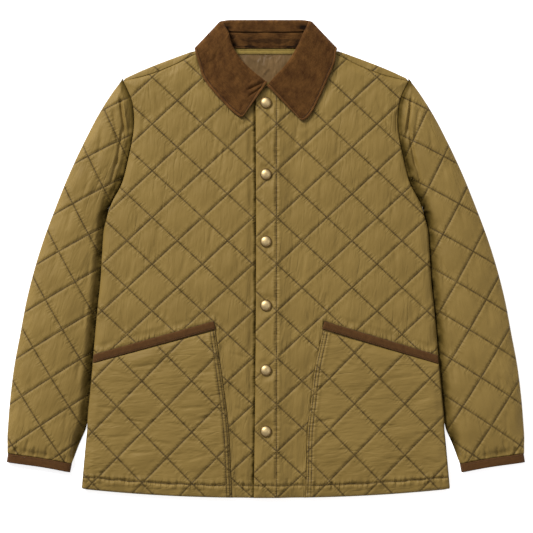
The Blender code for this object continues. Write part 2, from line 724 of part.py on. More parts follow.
def sleeve(side_name, collection, cutters):
    sign = 1 if side_name == "left" else -1
    outline = sleeve_outline()
    armhole = through(ARMHOLE[1:], 15)
    cuff = through(CUFF_SEAM, 16)

    def top(points):
        u, v = bent_quilt(points)
        swell = SLEEVE_PUFF * puff(u, v) * smooth(distance(points, outline) / 18.0)
        return sleeve_profile(points, outline, (armhole, cuff)) + swell

    def under(points):
        return np.zeros(len(points))

    nodes = clear_of(bent_nodes(outline), outline, 15.0)
    rings = np.vstack([inset(outline, 1.6), inset(outline, 5.0), inset(outline, 10.0)])
    relief = spaced(np.vstack([rings, nodes]), 3.0)
    verts, faces = panel(outline, relief, top, grid(outline, 60.0, 20.0), under)
    flat = np.array((sign, 1.0, 1.0))
    made = add("sleeve_" + side_name, verts * flat, faces, "quilted shell", collection)
    cutter = hollow("sleeve_hollow_" + side_name, outline, sign, cutters)
    cut = made.modifiers.new("hollow", "BOOLEAN")
    cut.operation = "DIFFERENCE"
    cut.solver = "EXACT"
    cut.object = cutter
    return made


def hollow(name, outline, sign, cutters):
    """The flat space inside a sleeve, open at the armhole and at the cuff."""
    rows = [(y, *crossings(outline, y)) for y in np.linspace(*HOLLOW_REACH, 30)]
    low, high = SLEEVE_LOWER, SLEEVE_LOWER + SLEEVE_HOLLOW
    sections = []
    for y, inner, outer in rows:
        section = [(inner, y, low), (outer, y, low), (outer, y, high), (inner, y, high)]
        sections.append(np.array(section) * (sign, 1, 1))
    verts, faces = swept(sections)
    cutter = add(name, verts, faces, "lining", cutters)
    cutter.hide_render = True
    cutter.display_type = "WIRE"
    return cutter


def crossings(outline, y):
    """Where the hollow starts and ends across a sleeve, at one height on the jacket."""
    ax, ay = outline.T
    bx, by = np.roll(outline, -1, axis=0).T
    hit = (ay > y) != (by > y)
    xs = ax[hit] + (y - ay[hit]) * (bx[hit] - ax[hit]) / (by[hit] - ay[hit])
    armhole_end = y > ARMHOLE[1][1]
    if len(xs) < 2:
        cuff_in, cuff_out = CUFF_SEAM[-1][0], CUFF_SEAM[0][0]
        return cuff_in + HOLLOW_INSET + 6, cuff_out - HOLLOW_INSET
    inner = xs.min() - 20 if armhole_end else xs.min() + HOLLOW_INSET
    return inner, xs.max() - HOLLOW_INSET - 3


def cuff_binding(side_name, collection):
    """The tape folded round the end of a sleeve: a flat ring."""
    sign = 1 if side_name == "left" else -1
    seam = through(CUFF_SEAM, 12)[::-1]
    ahead = np.gradient(seam, axis=0)
    down = np.stack([ahead[:, 1], -ahead[:, 0]], axis=1)
    down = down / np.linalg.norm(down, axis=1)[:, None]
    if down[0, 1] > 0:
        down = -down
    first, last = seam + down * SEAM, seam + down * CUFF_BAND
    height = SLEEVE_LOWER + SLEEVE_HOLLOW + SLEEVE_WALL + BINDING_RISE
    outer, inner = [], []
    for line, tall in ((first, height), (0.5 * (first + last), height + 0.3), (last, height - 0.6)):
        outer.append(ring_round(line, 0.0, tall, 0.0))
        inner.append(ring_round(line, SLEEVE_LOWER - 0.4, SLEEVE_LOWER + SLEEVE_HOLLOW + 0.4,
                                HOLLOW_INSET))
    size = len(outer[0])
    sections = outer + inner[::-1]
    verts = np.vstack(sections)
    rows = len(sections)
    faces = []
    for row in range(rows):
        after = (row + 1) % rows
        for i in range(size):
            j = (i + 1) % size
            faces.append((row * size + i, row * size + j, after * size + j, after * size + i))
    flat = np.array((sign, 1.0, 1.0))
    return add("cuff_binding_" + side_name, verts * flat, faces, "binding", collection)


def ring_round(line, low, high, trim):
    """A flat loop round a line in plan: along it above, and back along it below."""
    run = np.linalg.norm(line[-1] - line[0])
    along = np.linalg.norm(line - line[0], axis=1) / run
    middle = line[0] + (line[-1] - line[0]) * 0.5
    scale = (run - 2 * trim) / run
    line = middle + (line - middle) * scale
    bulge = 1 - np.abs(2 * along - 1)**6
    centre = (low + high) / 2 if trim else min(high * 0.3, 2.6)
    upper = centre + (high - centre) * np.maximum(bulge, 0.12)
    lower = np.full(len(line), float(low))
    lower[[0, -1]] = low + (centre - low) * (0.4 if trim else 0.25)
    over = np.column_stack([line, upper])
    back_again = np.column_stack([line, lower])[::-1]
    return np.vstack([over, back_again])


def pocket(side_name, collection):
    left = side_name == "left"
    spec = POCKET_LEFT if left else POCKET_RIGHT
    sign = 1 if left else -1
    outline = pocket_outline(spec)

    def plain(points):
        return pocket_base(points, left)

    def top(points):
        u, v = straight_quilt(points, spec["quilt"])
        edge = distance(points, outline)
        swell = POCKET_PUFF * puff(u, v) * smooth(edge / EDGE_FADE)
        stitch = hem_y(points[:, 0]) + HEM_BAND
        swell = swell * smooth(np.abs(points[:, 1] - stitch) / STITCH_FADE)
        drop = roll(points, outline, 5.0) * (POCKET_WALL - 0.9)
        return plain(points) + POCKET_WALL + swell - drop - 0.6 * groove(points, stitch)

    nodes = clear_of(straight_nodes(outline, spec["quilt"]), outline, 9.0)
    stitch_x = np.arange(60.0, 291.0, 15.0)
    stitch = [np.stack([stitch_x, hem_y(stitch_x) + HEM_BAND + o], 1) for o in (-4, 0, 4)]
    stitch = clear_of(np.vstack(stitch), outline, 2.5)
    relief = spaced(np.vstack([inset(outline, 1.8), inset(outline, 5.0), stitch, nodes]), 3.5)
    verts, faces = panel(outline, relief, top, grid(outline, 40.0, 12.0), plain)
    flat = np.array((sign, 1.0, 1.0))
    return add("pocket_" + side_name, verts * flat, faces, "quilted shell", collection)


def pocket_base(points, left):
    rise = overlap_rise(points) if left else 0
    return front_plain(points) + rise + SEAM


def pocket_binding(side_name, collection):
    """The tape on a pocket's mouth: a rounded bar that follows the front under it."""
    left = side_name == "left"
    (a, b), (d, c) = mouth_band(POCKET_LEFT if left else POCKET_RIGHT)
    sign = 1 if left else -1
    sections = []
    shape = [(0.0, 0.0), (1.0, 0.0), (1.0, 0.6), (0.86, 0.95), (0.5, 1.0), (0.14, 0.95), (0.0, 0.6)]
    height = POCKET_WALL + BINDING_RISE
    for t in np.linspace(0, 1, 16):
        low, high = a + (b - a) * t, d + (c - d) * t
        across = np.array([low + (high - low) * s for s, _ in shape])
        base = pocket_base(across, left)
        ring = np.column_stack([across, base + height * np.array([h for _, h in shape])])
        sections.append(ring * (sign, 1, 1))
    verts, faces = swept(sections)
    return add("pocket_binding_" + side_name, verts, faces, "binding", collection)


def whole_collar():
    """The stations of the collar from the wearer's right tip round the neck to the left one."""
    left = collar_stations("left")
    right = collar_stations("right")
    right = right * (-1, 1, 1, -1, 1, 1, 1, 1, 1)
    return np.vstack([right[::-1], left[1:]])


def whole_stand():
    left = np.array(STAND_BACK + STAND_FRONT_LEFT, float)
    right = np.array(STAND_BACK + STAND_FRONT_RIGHT, float)
    return np.vstack([right[::-1] * (-1, 1, 1), left[1:]])


def station_rows(table, per_gap):
    """Rows between the stations of a table, on a smooth line through each column."""
    count = len(table)
    slope = np.gradient(table, axis=0)
    place = np.linspace(0, count - 1, (count - 1) * per_gap + 1)
    k = np.clip(place.astype(int), 0, count - 2)
    t = (place - k)[:, None]
    return ((2 * t**3 - 3 * t**2 + 1) * table[k] + (t**3 - 2 * t**2 + t) * slope[k]
            + (3 * t**2 - 2 * t**3) * table[k + 1] + (t**3 - t**2) * slope[k + 1])


def leg_frame(row):
    """The direction from fold to edge, and the one from the outer leg to the inner leg."""
    fold, edge = row[0:3], row[3:6]
    reach = np.linalg.norm(edge - fold)
    out = (edge - fold) / reach
    up = np.array((0, 0, 1.0)) - out * out[2]
    up = up / np.linalg.norm(up)
    level = np.cross(out, up)
    if level[0] * fold[0] > 0 or (abs(fold[0]) < 1e-6 and level[1] > 0):
        level = -level
    turn = math.radians(row[6])
    return out, up * math.cos(turn) + level * math.sin(turn), reach


def fall_section(row):
    """Points down the middle of the cloth, from the inner leg over the fold to the edge."""
    out, across, reach = leg_frame(row)
    r, depth = row[8], max(row[7], row[8] + 0.8)
    line = [(a, 2 * r) for a in np.linspace(depth, r, 3)]
    line += [(r - r * math.cos(t), r + r * math.sin(t)) for t in
             np.radians((45.0, 0.0, -45.0))]
    line += [(a, 0.0) for a in np.linspace(r, reach, 6)]
    return np.array([row[0:3] + out * a + across * w for a, w in line])


def thickened(surface, wall):
    """A closed solid of even thickness about a grid of points."""
    rows, columns = surface.shape[:2]
    du, dv = np.gradient(surface, axis=0), np.gradient(surface, axis=1)
    normal = np.cross(du, dv)
    normal = normal / np.linalg.norm(normal, axis=2)[..., None]
    one, two = surface + normal * wall / 2, surface - normal * wall / 2
    sections = [np.vstack([one[k], two[k][::-1]]) for k in range(rows)]
    return swept(sections)


def collar_fall(collection):
    rows = station_rows(whole_collar(), 2)
    surface = np.array([fall_section(row) for row in rows])
    surface[..., 2] = np.maximum(surface[..., 2], CORD_WALL / 2 + 0.05)
    verts, faces = thickened(surface, CORD_WALL)
    return add("collar_fall", verts, faces, "corduroy", collection)


def collar_stand(collection):
    rows = station_rows(whole_collar(), 2)
    necks = station_rows(whole_stand(), 2)
    surface = []
    for row, neck in zip(rows, necks):
        section = fall_section(row)
        last, before = section[0], section[1]
        ahead = (last - before) / np.linalg.norm(last - before)
        on = (neck - last) / np.linalg.norm(neck - last)
        bend = math.acos(np.clip(ahead @ on, -1, 1))
        edge = last + on * (2 * SEAM + 1.5 * CORD_WALL * math.tan(min(bend, 2.0) / 2))
        surface.append([neck + (edge - neck) * t for t in (0.0, 0.5, 1.0)])
    verts, faces = thickened(np.array(surface), STAND_WALL)
    return add("collar_stand", verts, faces, "corduroy", collection)


def snap(number, y, collection):
    """A domed cap with a rolled rim, turned about its own axis."""
    mesh = bpy.data.meshes.new("snap_profile")
    profile = [(r * MM, 0.0, z * MM) for r, z in SNAP_PROFILE]
    mesh.from_pydata(profile, [(i, i + 1) for i in range(len(profile) - 1)], [])
    made = bpy.data.objects.new("snap_" + str(number), mesh)
    turn = made.modifiers.new("turn", "SCREW")
    turn.angle = math.tau
    turn.steps = SNAP_STEPS
    turn.render_steps = SNAP_STEPS
    turn.use_merge_vertices = True
    turn.merge_threshold = 0.00005
    mesh.materials.append(material("brass"))
    at = np.array([(SNAP_X, y)])
    seat = float((front_plain(at) + overlap_rise(at))[0]) + SEAM
    made.location = (SNAP_X * MM, y * MM, seat * MM)
    collection.objects.link(made)
    return made


def main():
    for old in list(bpy.data.objects):
        bpy.data.objects.remove(old, do_unlink=True)
    scene = bpy.context.scene
    jacket = bpy.data.collections.new("quilted_jacket")
    cutters = bpy.data.collections.new("cutters")
    scene.collection.children.link(jacket)
    scene.collection.children.link(cutters)
    cutters.hide_render = True
    back(jacket)
    back_lining(jacket)
    neck_tape(jacket)
    for side_name in ("right", "left"):
        front(side_name, jacket)
        pocket(side_name, jacket)
        pocket_binding(side_name, jacket)
        sleeve(side_name, jacket, cutters)
        cuff_binding(side_name, jacket)
    collar_stand(jacket)
    collar_fall(jacket)
    for number, y in enumerate(SNAP_YS, 1):
        snap(number, y, jacket)


main()
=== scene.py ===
# %% [markdown]
# # A quilted jacket, laid flat and buttoned up
#
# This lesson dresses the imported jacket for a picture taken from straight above. The real
# jacket is olive nylon quilted in diamonds over thin wadding, with a brown corduroy collar,
# brown tape on its cuffs and pocket mouths, and six domed brass snaps.
#
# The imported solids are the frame: they say where each piece lies and how big it is. Each
# piece of cloth is then worked out again as a finer surface on the same lines, which stands
# for its solid. X runs towards the wearer's left sleeve, Y towards the collar, Z up.

# %% Load the frame
import math
import bmesh
import bpy
import numpy as np
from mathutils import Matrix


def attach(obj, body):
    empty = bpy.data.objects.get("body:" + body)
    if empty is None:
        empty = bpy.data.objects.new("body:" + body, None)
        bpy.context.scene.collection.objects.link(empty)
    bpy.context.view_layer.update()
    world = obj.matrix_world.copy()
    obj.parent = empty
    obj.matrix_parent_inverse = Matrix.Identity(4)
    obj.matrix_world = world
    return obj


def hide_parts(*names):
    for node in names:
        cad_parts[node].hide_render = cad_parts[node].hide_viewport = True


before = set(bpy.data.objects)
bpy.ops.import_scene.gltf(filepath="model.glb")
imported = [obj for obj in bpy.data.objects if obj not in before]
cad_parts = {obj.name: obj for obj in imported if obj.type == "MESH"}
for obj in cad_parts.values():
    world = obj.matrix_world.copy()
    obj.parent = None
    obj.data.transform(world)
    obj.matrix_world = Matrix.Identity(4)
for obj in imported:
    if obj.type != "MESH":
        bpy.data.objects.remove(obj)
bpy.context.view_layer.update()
MM = 0.001
print("solids:", sorted(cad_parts))

# %% [markdown]
# ## The camera
#
# The jacket was photographed from straight above. A camera three metres up, with a long
# lens, sees the whole jacket almost without perspective. The picture is square, 533 by 533,
# and one of its pixels is 1.6 mm on the cloth, so it takes in 853 mm of the floor.

# %% Camera
PIXEL = 1.6
VIEW_WIDTH = 533 * PIXEL
CAMERA_HEIGHT = 3000.0
CLOTH_LEVEL = 8.0

camera_data = bpy.data.cameras.new("camera")
camera_data.sensor_width = 36.0
camera_data.lens = 36.0 * (CAMERA_HEIGHT - CLOTH_LEVEL) / VIEW_WIDTH
camera = bpy.data.objects.new("camera", camera_data)
camera.location = (1.1 * MM, -12.0 * MM, CAMERA_HEIGHT * MM)
bpy.context.scene.collection.objects.link(camera)
bpy.context.scene.camera = camera
print("lens", round(camera_data.lens, 1), "mm")

# %% [markdown]
# ## Colour and nodes
#
# Colours are written as the sRGB hex values that a picture editor shows, and one function
# turns them into the linear light that the renderer works in. One more function adds a
# shader node, with its settings and its links, so that a material reads as a list of steps.

# %% Helpers for materials
def linear(text):
    """Linear light from an sRGB hex value: the lower end is a straight line, the rest a power."""
    srgb = np.array([int(text[i:i + 2], 16) for i in (1, 3, 5)]) / 255
    light = np.where(srgb <= 0.04045, srgb / 12.92, ((srgb + 0.055) / 1.055)**2.4)
    return (*light.tolist(), 1.0)


def put(tree, kind, inputs=(), **settings):
    """Adds one node. A value that is a socket is linked, any other is set on the input."""
    made = tree.nodes.new("ShaderNode" + kind)
    for key, value in settings.items():
        setattr(made, key, value)
    for socket, value in dict(inputs).items():
        if isinstance(value, bpy.types.NodeSocket):
            tree.links.new(value, made.inputs[socket])
        else:
            made.inputs[socket].default_value = value
    return made.outputs[0]


def new_material(name, roughness, **values):
    """A material with its Principled shader, whose even values sit on its own sockets."""
    made = bpy.data.materials.new(name)
    made.use_nodes = True
    shader = made.node_tree.nodes["Principled BSDF"]
    shader.inputs["Roughness"].default_value = roughness
    for key, value in values.items():
        shader.inputs[key.replace("_", " ")].default_value = value
    return made, made.node_tree, shader


# %% [markdown]
# ## Light and floor
#
# The floor is a sheet of white paper on a light table, so hardly a shadow shows on it. A lamp
# stands up and to the left of the picture, so that the quilting throws its shade down and to
# the right, and an even pale surround fills the shade a little.

# %% Floor and lamps
floor_material, floor_tree, floor_shader = new_material("matt white paper", 0.9)
floor_shader.inputs["Base Color"].default_value = linear("#f6f6f6")
floor_shader.inputs["Emission Color"].default_value = linear("#ffffff")
floor_shader.inputs["Emission Strength"].default_value = 0.66
floor_mesh = bpy.data.meshes.new("floor")
FLOOR = 6.0
floor_mesh.from_pydata([(-FLOOR, -FLOOR, -0.0006), (FLOOR, -FLOOR, -0.0006),
                        (FLOOR, FLOOR, -0.0006), (-FLOOR, FLOOR, -0.0006)], [], [(0, 1, 2, 3)])
floor_mesh.materials.append(floor_material)
floor = bpy.data.objects.new("floor", floor_mesh)
bpy.context.scene.collection.objects.link(floor)

world = bpy.data.worlds.new("studio")
world.use_nodes = True
world.node_tree.nodes["Background"].inputs["Color"].default_value = linear("#fbfbff")
world.node_tree.nodes["Background"].inputs["Strength"].default_value = 0.3
bpy.context.scene.world = world
bpy.context.scene.view_settings.view_transform = "Standard"


def lamp(name, place, size, watts):
    """A square area lamp that looks at the middle of the jacket."""
    data = bpy.data.lights.new(name, "AREA")
    data.size = size
    data.energy = watts
    made = bpy.data.objects.new(name, data)
    made.location = place
    back = made.location.normalized()
    made.rotation_mode = "QUATERNION"
    made.rotation_quaternion = back.to_track_quat("Z", "Y")
    bpy.context.scene.collection.objects.link(made)


lamp("key lamp", (-3.5, 4.17, 3.77), 1.9, 565)
lamp("fill lamp", (2.2, -0.4, 2.4), 2.0, 17)
print("floor and two lamps")

# %% [markdown]
# ## Quilted nylon
#
# The shell is calendered nylon: plain-woven yarn pressed smooth, which gives it a satin
# gloss and fine sharp creases. It is stitched to its wadding in diamonds. The swell of the
# diamonds is in the mesh. The material adds what is finer: the cloth dives into each stitch
# line, it puckers across the line between one stitch and the next, and long thin creases
# run the way that the cloth hangs. Its colour carries painted shade too: a dark line along
# each stitch line and seam, and a darker band where a sleeve or the right front turns down
# beside an edge.
#
# Each mesh carries a UV map that counts stitch lines: U grows by one from a line to the
# next of one set, V by one between lines of the other. A ping-pong of each gives the
# distance to the nearest line, and the pattern stays on the stitches on every piece.

# %% Quilted nylon
LINE_GAP = 55.0  # between stitch lines, mm


def ridges(tree, place, low, high, sharp):
    """Thin ridges where a noise passes its middle value: 1 there, 0 away from it."""
    noise = put(tree, "TexNoise", {"Vector": place, "Scale": 1.0, "Detail": 2.0, "Roughness": 0.45})
    away = put(tree, "Math", {0: noise, 1: 0.5}, operation="SUBTRACT")
    near = put(tree, "Math", {0: away}, operation="ABSOLUTE")
    line = put(tree, "MapRange", {0: near, 1: 0.0, 2: sharp, 3: 1.0, 4: 0.0},
               interpolation_type="SMOOTHERSTEP")
    spread = put(tree, "Mapping", {0: place, 1: (7.1, 3.3, 1.7), 3: (0.55, 0.6, 0.55)})
    patch = put(tree, "TexNoise", {"Vector": spread, "Scale": 1.0, "Detail": 1.0})
    where = put(tree, "MapRange", {0: patch, 1: low, 2: high}, interpolation_type="SMOOTHSTEP")
    return put(tree, "Math", {0: line, 1: where}, operation="MULTIPLY")


def quilted_nylon(name, crease_turn, crease_height=0.45, rows_apart=0.0, fold=0.0):
    """Quilted nylon whose long creases are turned by crease_turn degrees from the Y axis. The
    seam down its side is one row of stitches, or two that are rows_apart mm apart. Where the
    cloth turns down into a deep fold beside its edge, shade is painted into it over fold mm."""
    made, tree, shader = new_material(name, 0.62, Specular_IOR_Level=0.22, IOR=1.5)
    quilt = put(tree, "UVMap", uv_map="quilt")
    parts = put(tree, "SeparateXYZ", {0: quilt}).node.outputs
    near_u = put(tree, "Math", {0: parts[0], 1: 0.5}, operation="PINGPONG")
    near_v = put(tree, "Math", {0: parts[1], 1: 0.5}, operation="PINGPONG")
    nearest = put(tree, "Math", {0: near_u, 1: near_v}, operation="MINIMUM")
    to_line = put(tree, "Math", {0: nearest, 1: LINE_GAP}, operation="MULTIPLY")
    # The seam map gives the lines along which shade is painted, besides the quilting's own lines
    seams = put(tree, "SeparateXYZ", {0: put(tree, "UVMap", uv_map="seam")}).node.outputs
    to_hem_and_covers = put(tree, "Math", {0: seams[0]}, operation="ABSOLUTE")
    to_side_and_placket = put(tree, "Math", {0: seams[1]}, operation="ABSOLUTE")
    to_side_and_placket = put(tree, "Math", {0: to_side_and_placket, 1: rows_apart / 2}, operation="SUBTRACT")
    to_side_and_placket = put(tree, "Math", {0: to_side_and_placket}, operation="ABSOLUTE")
    to_seam = put(tree, "Math", {0: to_hem_and_covers, 1: to_side_and_placket}, operation="MINIMUM")
    to_stitch = put(tree, "Math", {0: to_line, 1: to_seam}, operation="MINIMUM")
    groove = put(tree, "MapRange", {0: to_stitch, 1: 0.0, 2: 4.2},
                 interpolation_type="SMOOTHSTEP")

    # Puckers: short wrinkles across a stitch line that fade away from it
    place = put(tree, "TexCoord").node.outputs["Object"]
    pucker = None
    for start, near, reach, stretch, full in (
            (quilt, near_u, 0.26, (2.4, 15.0, 1.0), 1.0),
            (quilt, near_v, 0.26, (15.0, 2.4, 1.0), 1.0),
            (place, to_hem_and_covers, 12.0, (190.0, 40.0, 40.0), 2.2),
            (place, to_side_and_placket, 10.0, (45.0, 210.0, 40.0), 1.4)):
        spread = put(tree, "Mapping", {0: start, 3: stretch})
        noise = put(tree, "TexNoise", {"Vector": spread, "Scale": 1.0, "Detail": 2.5})
        fade = put(tree, "MapRange", {0: near, 1: 0.0, 2: reach, 3: full, 4: 0.0},
                   interpolation_type="SMOOTHERSTEP")
        part = put(tree, "Math", {0: noise, 1: fade}, operation="MULTIPLY")
        pucker = part if pucker is None else put(tree, "Math", {0: pucker, 1: part})

    turned = put(tree, "Mapping", {0: place, 2: (0.0, 0.0, math.radians(crease_turn))})
    long_way = put(tree, "Mapping", {0: turned, 3: (70.0, 15.0, 60.0)})
    fine_way = put(tree, "Mapping", {0: turned, 3: (170.0, 30.0, 90.0)})
    creases = ridges(tree, long_way, 0.45, 0.68, 0.09)
    fine = ridges(tree, fine_way, 0.46, 0.68, 0.14)
    drape_way = put(tree, "Mapping", {0: turned, 3: (48.0, 12.0, 40.0)})
    drape = put(tree, "TexNoise", {"Vector": drape_way, "Scale": 1.0, "Detail": 3.0,
                                   "Roughness": 0.55})

    # Heights in millimetres, added up for one bump
    height = put(tree, "Math", {0: groove, 1: 0.65}, operation="MULTIPLY")
    for relief, share in ((pucker, 2.1), (creases, -crease_height), (fine, -0.17), (drape, 3.2)):
        height = put(tree, "Math", {0: relief, 1: share, 2: height}, operation="MULTIPLY_ADD")
    bump = put(tree, "Bump", {"Height": height, "Distance": MM})
    tree.links.new(bump, shader.inputs["Normal"])

    # The dye takes a little unevenly, and painted shade darkens each stitch line and seam in a dark
    # line of uneven depth
    mottle = put(tree, "TexNoise", {"Vector": place, "Scale": 22.0, "Detail": 3.0})
    cloth = put(tree, "Mix", {0: mottle, 6: linear("#765f2c"), 7: linear("#8c733b")},
                data_type="RGBA").node.outputs[2]
    shade, seam_shade = [put(tree, "MapRange", {0: near, 1: 0.1, 2: reach, 3: 1.0, 4: 0.0},
                       interpolation_type="SMOOTHSTEP")
                   for near, reach in ((to_line, 2.1), (to_seam, 1.8))]
    uneven = put(tree, "TexNoise", {"Vector": place, "Scale": 95.0, "Detail": 2.0})
    depth = put(tree, "MapRange", {0: uneven, 1: 0.3, 2: 0.7, 3: 0.4, 4: 0.9})
    shade = put(tree, "Math", {0: shade, 1: depth}, operation="MULTIPLY")
    deeper = put(tree, "MapRange", {0: uneven, 1: 0.35, 2: 0.65, 3: 0.3, 4: 0.9})
    seam_shade = put(tree, "Math", {0: seam_shade, 1: deeper}, operation="MULTIPLY")
    shade = put(tree, "Math", {0: shade, 1: seam_shade}, operation="MAXIMUM")
    line_shaded_cloth = put(tree, "Mix", {0: shade, 6: cloth, 7: linear("#2d1d02")},
                data_type="RGBA").node.outputs[2]
    # Painted shade: the cloth darkens, unevenly, where it turns down beside a fold, and loses its
    # gloss there
    if fold:
        painted_fold_shade = put(tree, "MapRange", {0: seams[1], 1: 0.08 * fold, 2: fold, 3: 1.0, 4: 0.0},
                          interpolation_type="SMOOTHSTEP")
        waver = put(tree, "TexNoise", {"Vector": place, "Scale": 60.0, "Detail": 2.0})
        waver = put(tree, "MapRange", {0: waver, 1: 0.36, 2: 0.6, 3: 0.65, 4: 1.0})
        painted_fold_shade = put(tree, "Math", {0: painted_fold_shade, 1: waver}, operation="MULTIPLY")
        line_shaded_cloth = put(tree, "Mix", {0: painted_fold_shade, 6: line_shaded_cloth, 7: linear("#241c08")},
                    data_type="RGBA").node.outputs[2]
        gloss = put(tree, "MapRange", {0: painted_fold_shade, 1: 0.0, 2: 0.6, 3: 0.22, 4: 0.0})
        tree.links.new(gloss, shader.inputs["Specular IOR Level"])
    tree.links.new(line_shaded_cloth, shader.inputs["Base Color"])
    return made


BODY_CLOTH = quilted_nylon("quilted nylon, body", 4.0)
POCKET_ROWS_APART = 4.8
POCKET_CLOTH = quilted_nylon("quilted nylon, pocket", 84.0, 0.4, POCKET_ROWS_APART)
# The sleeves get painted shade where they run down beside the body
SLEEVE_CLOTH_RIGHT = quilted_nylon("quilted nylon, right sleeve", 19.0, fold=21.0)
SLEEVE_CLOTH_LEFT = quilted_nylon("quilted nylon, left sleeve", -19.0, fold=21.0)
# The right front gets painted shade beside the left front's edge, which stands over it
UNDERLAP_CLOTH = quilted_nylon("quilted nylon, right front", 4.0, fold=6.5)
print("quilted nylon in five turns")

# %% [markdown]
# ## Corduroy
#
# Corduroy is cotton with rows of cut pile, called wales. This one is fine, with a wale every
# 1.9 mm. The tips of the pile catch the light and the valleys between are dark, and the nap
# lies this way and that, which gives the soft cloudy look. The UV map of a collar piece is
# in millimetres: U along the collar, V from the fold to the edge, so the wales run along it.

# %% Corduroy
WALE = 1.9  # mm

CORDUROY, cord_tree, cord_shader = new_material(
    "fine-wale corduroy", 0.95, Sheen_Roughness=0.4, IOR=1.5, Specular_IOR_Level=0.12)
cord_shader.inputs["Sheen Tint"].default_value = linear("#8a6040")
cord_uv = put(cord_tree, "UVMap", uv_map="quilt")
cord_parts = put(cord_tree, "SeparateXYZ", {0: cord_uv}).node.outputs
wander = put(cord_tree, "TexNoise", {"Vector": cord_uv, "Scale": 0.12, "Detail": 1.0})
across = put(cord_tree, "Math", {0: wander, 1: 0.7, 2: cord_parts[1]}, operation="MULTIPLY_ADD")
phase = put(cord_tree, "Math", {0: across, 1: math.pi / WALE}, operation="MULTIPLY")
wale = put(cord_tree, "Math", {0: phase}, operation="SINE")
wale = put(cord_tree, "Math", {0: wale}, operation="ABSOLUTE")
pile = put(cord_tree, "TexNoise", {"Vector": cord_uv, "Scale": 1.6, "Detail": 3.0})
nap = put(cord_tree, "TexNoise", {"Vector": cord_uv, "Scale": 0.055, "Detail": 4.0,
                                  "Roughness": 0.6})
streaks_way = put(cord_tree, "Mapping", {0: cord_uv, 3: (0.22, 0.5, 1.0)})
streaks = put(cord_tree, "TexNoise", {"Vector": streaks_way, "Scale": 1.0, "Detail": 4.0,
                                      "Roughness": 0.65})
rumple = put(cord_tree, "TexNoise", {"Vector": cord_uv, "Scale": 0.085, "Detail": 3.0})
cord_height = put(cord_tree, "Math", {0: pile, 1: 0.5, 2: wale}, operation="MULTIPLY_ADD")
cord_height = put(cord_tree, "Math", {0: rumple, 1: 6.5, 2: cord_height},
                  operation="MULTIPLY_ADD")
cord_bump = put(cord_tree, "Bump", {"Height": cord_height, "Distance": 0.5 * MM})
cord_tree.links.new(cord_bump, cord_shader.inputs["Normal"])
cloud = put(cord_tree, "Math", {0: streaks, 1: 0.55, 2: nap}, operation="MULTIPLY_ADD")
cloud = put(cord_tree, "MapRange", {0: cloud, 1: 0.5, 2: 1.1})
tip = put(cord_tree, "Mix", {0: cloud, 6: linear("#3c220c"), 7: linear("#754f26")},
          data_type="RGBA").node.outputs[2]
valley = put(cord_tree, "MapRange", {0: wale, 1: 0.0, 2: 0.75, 3: 0.5, 4: 0.0})

# The seam map holds the painted shade of the collar's inside folds and corners, and how far the cloth
# is from its topstitching
cord_seams = put(cord_tree, "SeparateXYZ", {0: put(cord_tree, "UVMap", uv_map="seam")})
rim = put(cord_tree, "MapRange", {0: cord_seams.node.outputs[1], 1: -1.2, 2: 0.6, 3: 0.28,
                                  4: 0.0})
tip = put(cord_tree, "Mix", {0: rim, 6: tip, 7: linear("#8a5f34")}, data_type="RGBA")
tip = tip.node.outputs[2]
topstitch = put(cord_tree, "Math", {0: cord_seams.node.outputs[1]}, operation="ABSOLUTE")
topstitch = put(cord_tree, "MapRange", {0: topstitch, 1: 0.2, 2: 1.3, 3: 0.6, 4: 0.0},
                interpolation_type="SMOOTHSTEP")
ruckle_way = put(cord_tree, "Mapping", {0: cord_uv, 3: (0.05, 0.13, 1.0)})
ruckle = put(cord_tree, "TexNoise", {"Vector": ruckle_way, "Scale": 1.0, "Detail": 4.0})
ruckle = put(cord_tree, "MapRange", {0: ruckle, 1: 0.42, 2: 0.58, 3: 0.0, 4: 1.0})
# Painted shade in the collar's inside folds: uneven by a noise, sure at the deepest corners, and
# without sheen
cord_fold_shade = put(cord_tree, "Math", {0: cord_seams, 1: ruckle}, operation="MULTIPLY")
cord_deepest_shade = put(cord_tree, "Math", {0: cord_seams, 1: 0.5}, operation="SUBTRACT")
cord_fold_shade = put(cord_tree, "Math", {0: cord_fold_shade, 1: cord_deepest_shade}, operation="MAXIMUM")
pile_glow = put(cord_tree, "MapRange", {0: cord_fold_shade, 1: 0.0, 2: 0.7, 3: 0.2, 4: 0.0})
cord_tree.links.new(pile_glow, cord_shader.inputs["Sheen Weight"])
cord_shade = put(cord_tree, "Math", {0: topstitch, 1: cord_fold_shade}, operation="MAXIMUM")
cord_shade = put(cord_tree, "Math", {0: cord_shade, 1: valley}, operation="MAXIMUM")
cord_colour = put(cord_tree, "Mix", {0: cord_shade, 6: tip, 7: linear("#1c0f04")},
                  data_type="RGBA").node.outputs[2]
cord_tree.links.new(cord_colour, cord_shader.inputs["Base Color"])
print("wales", WALE, "mm apart")

# %% [markdown]
# ## Tape, lining and brass
#
# The bindings are cotton tape with fine ribs across it. The neck tape is the same in olive.
# The lining is thin smooth polyester, taupe, with a silky gloss. The snap caps are drawn
# brass, polished and then handled, so the gloss is broken by fine marks, and the recess by
# the rim has painted shade.

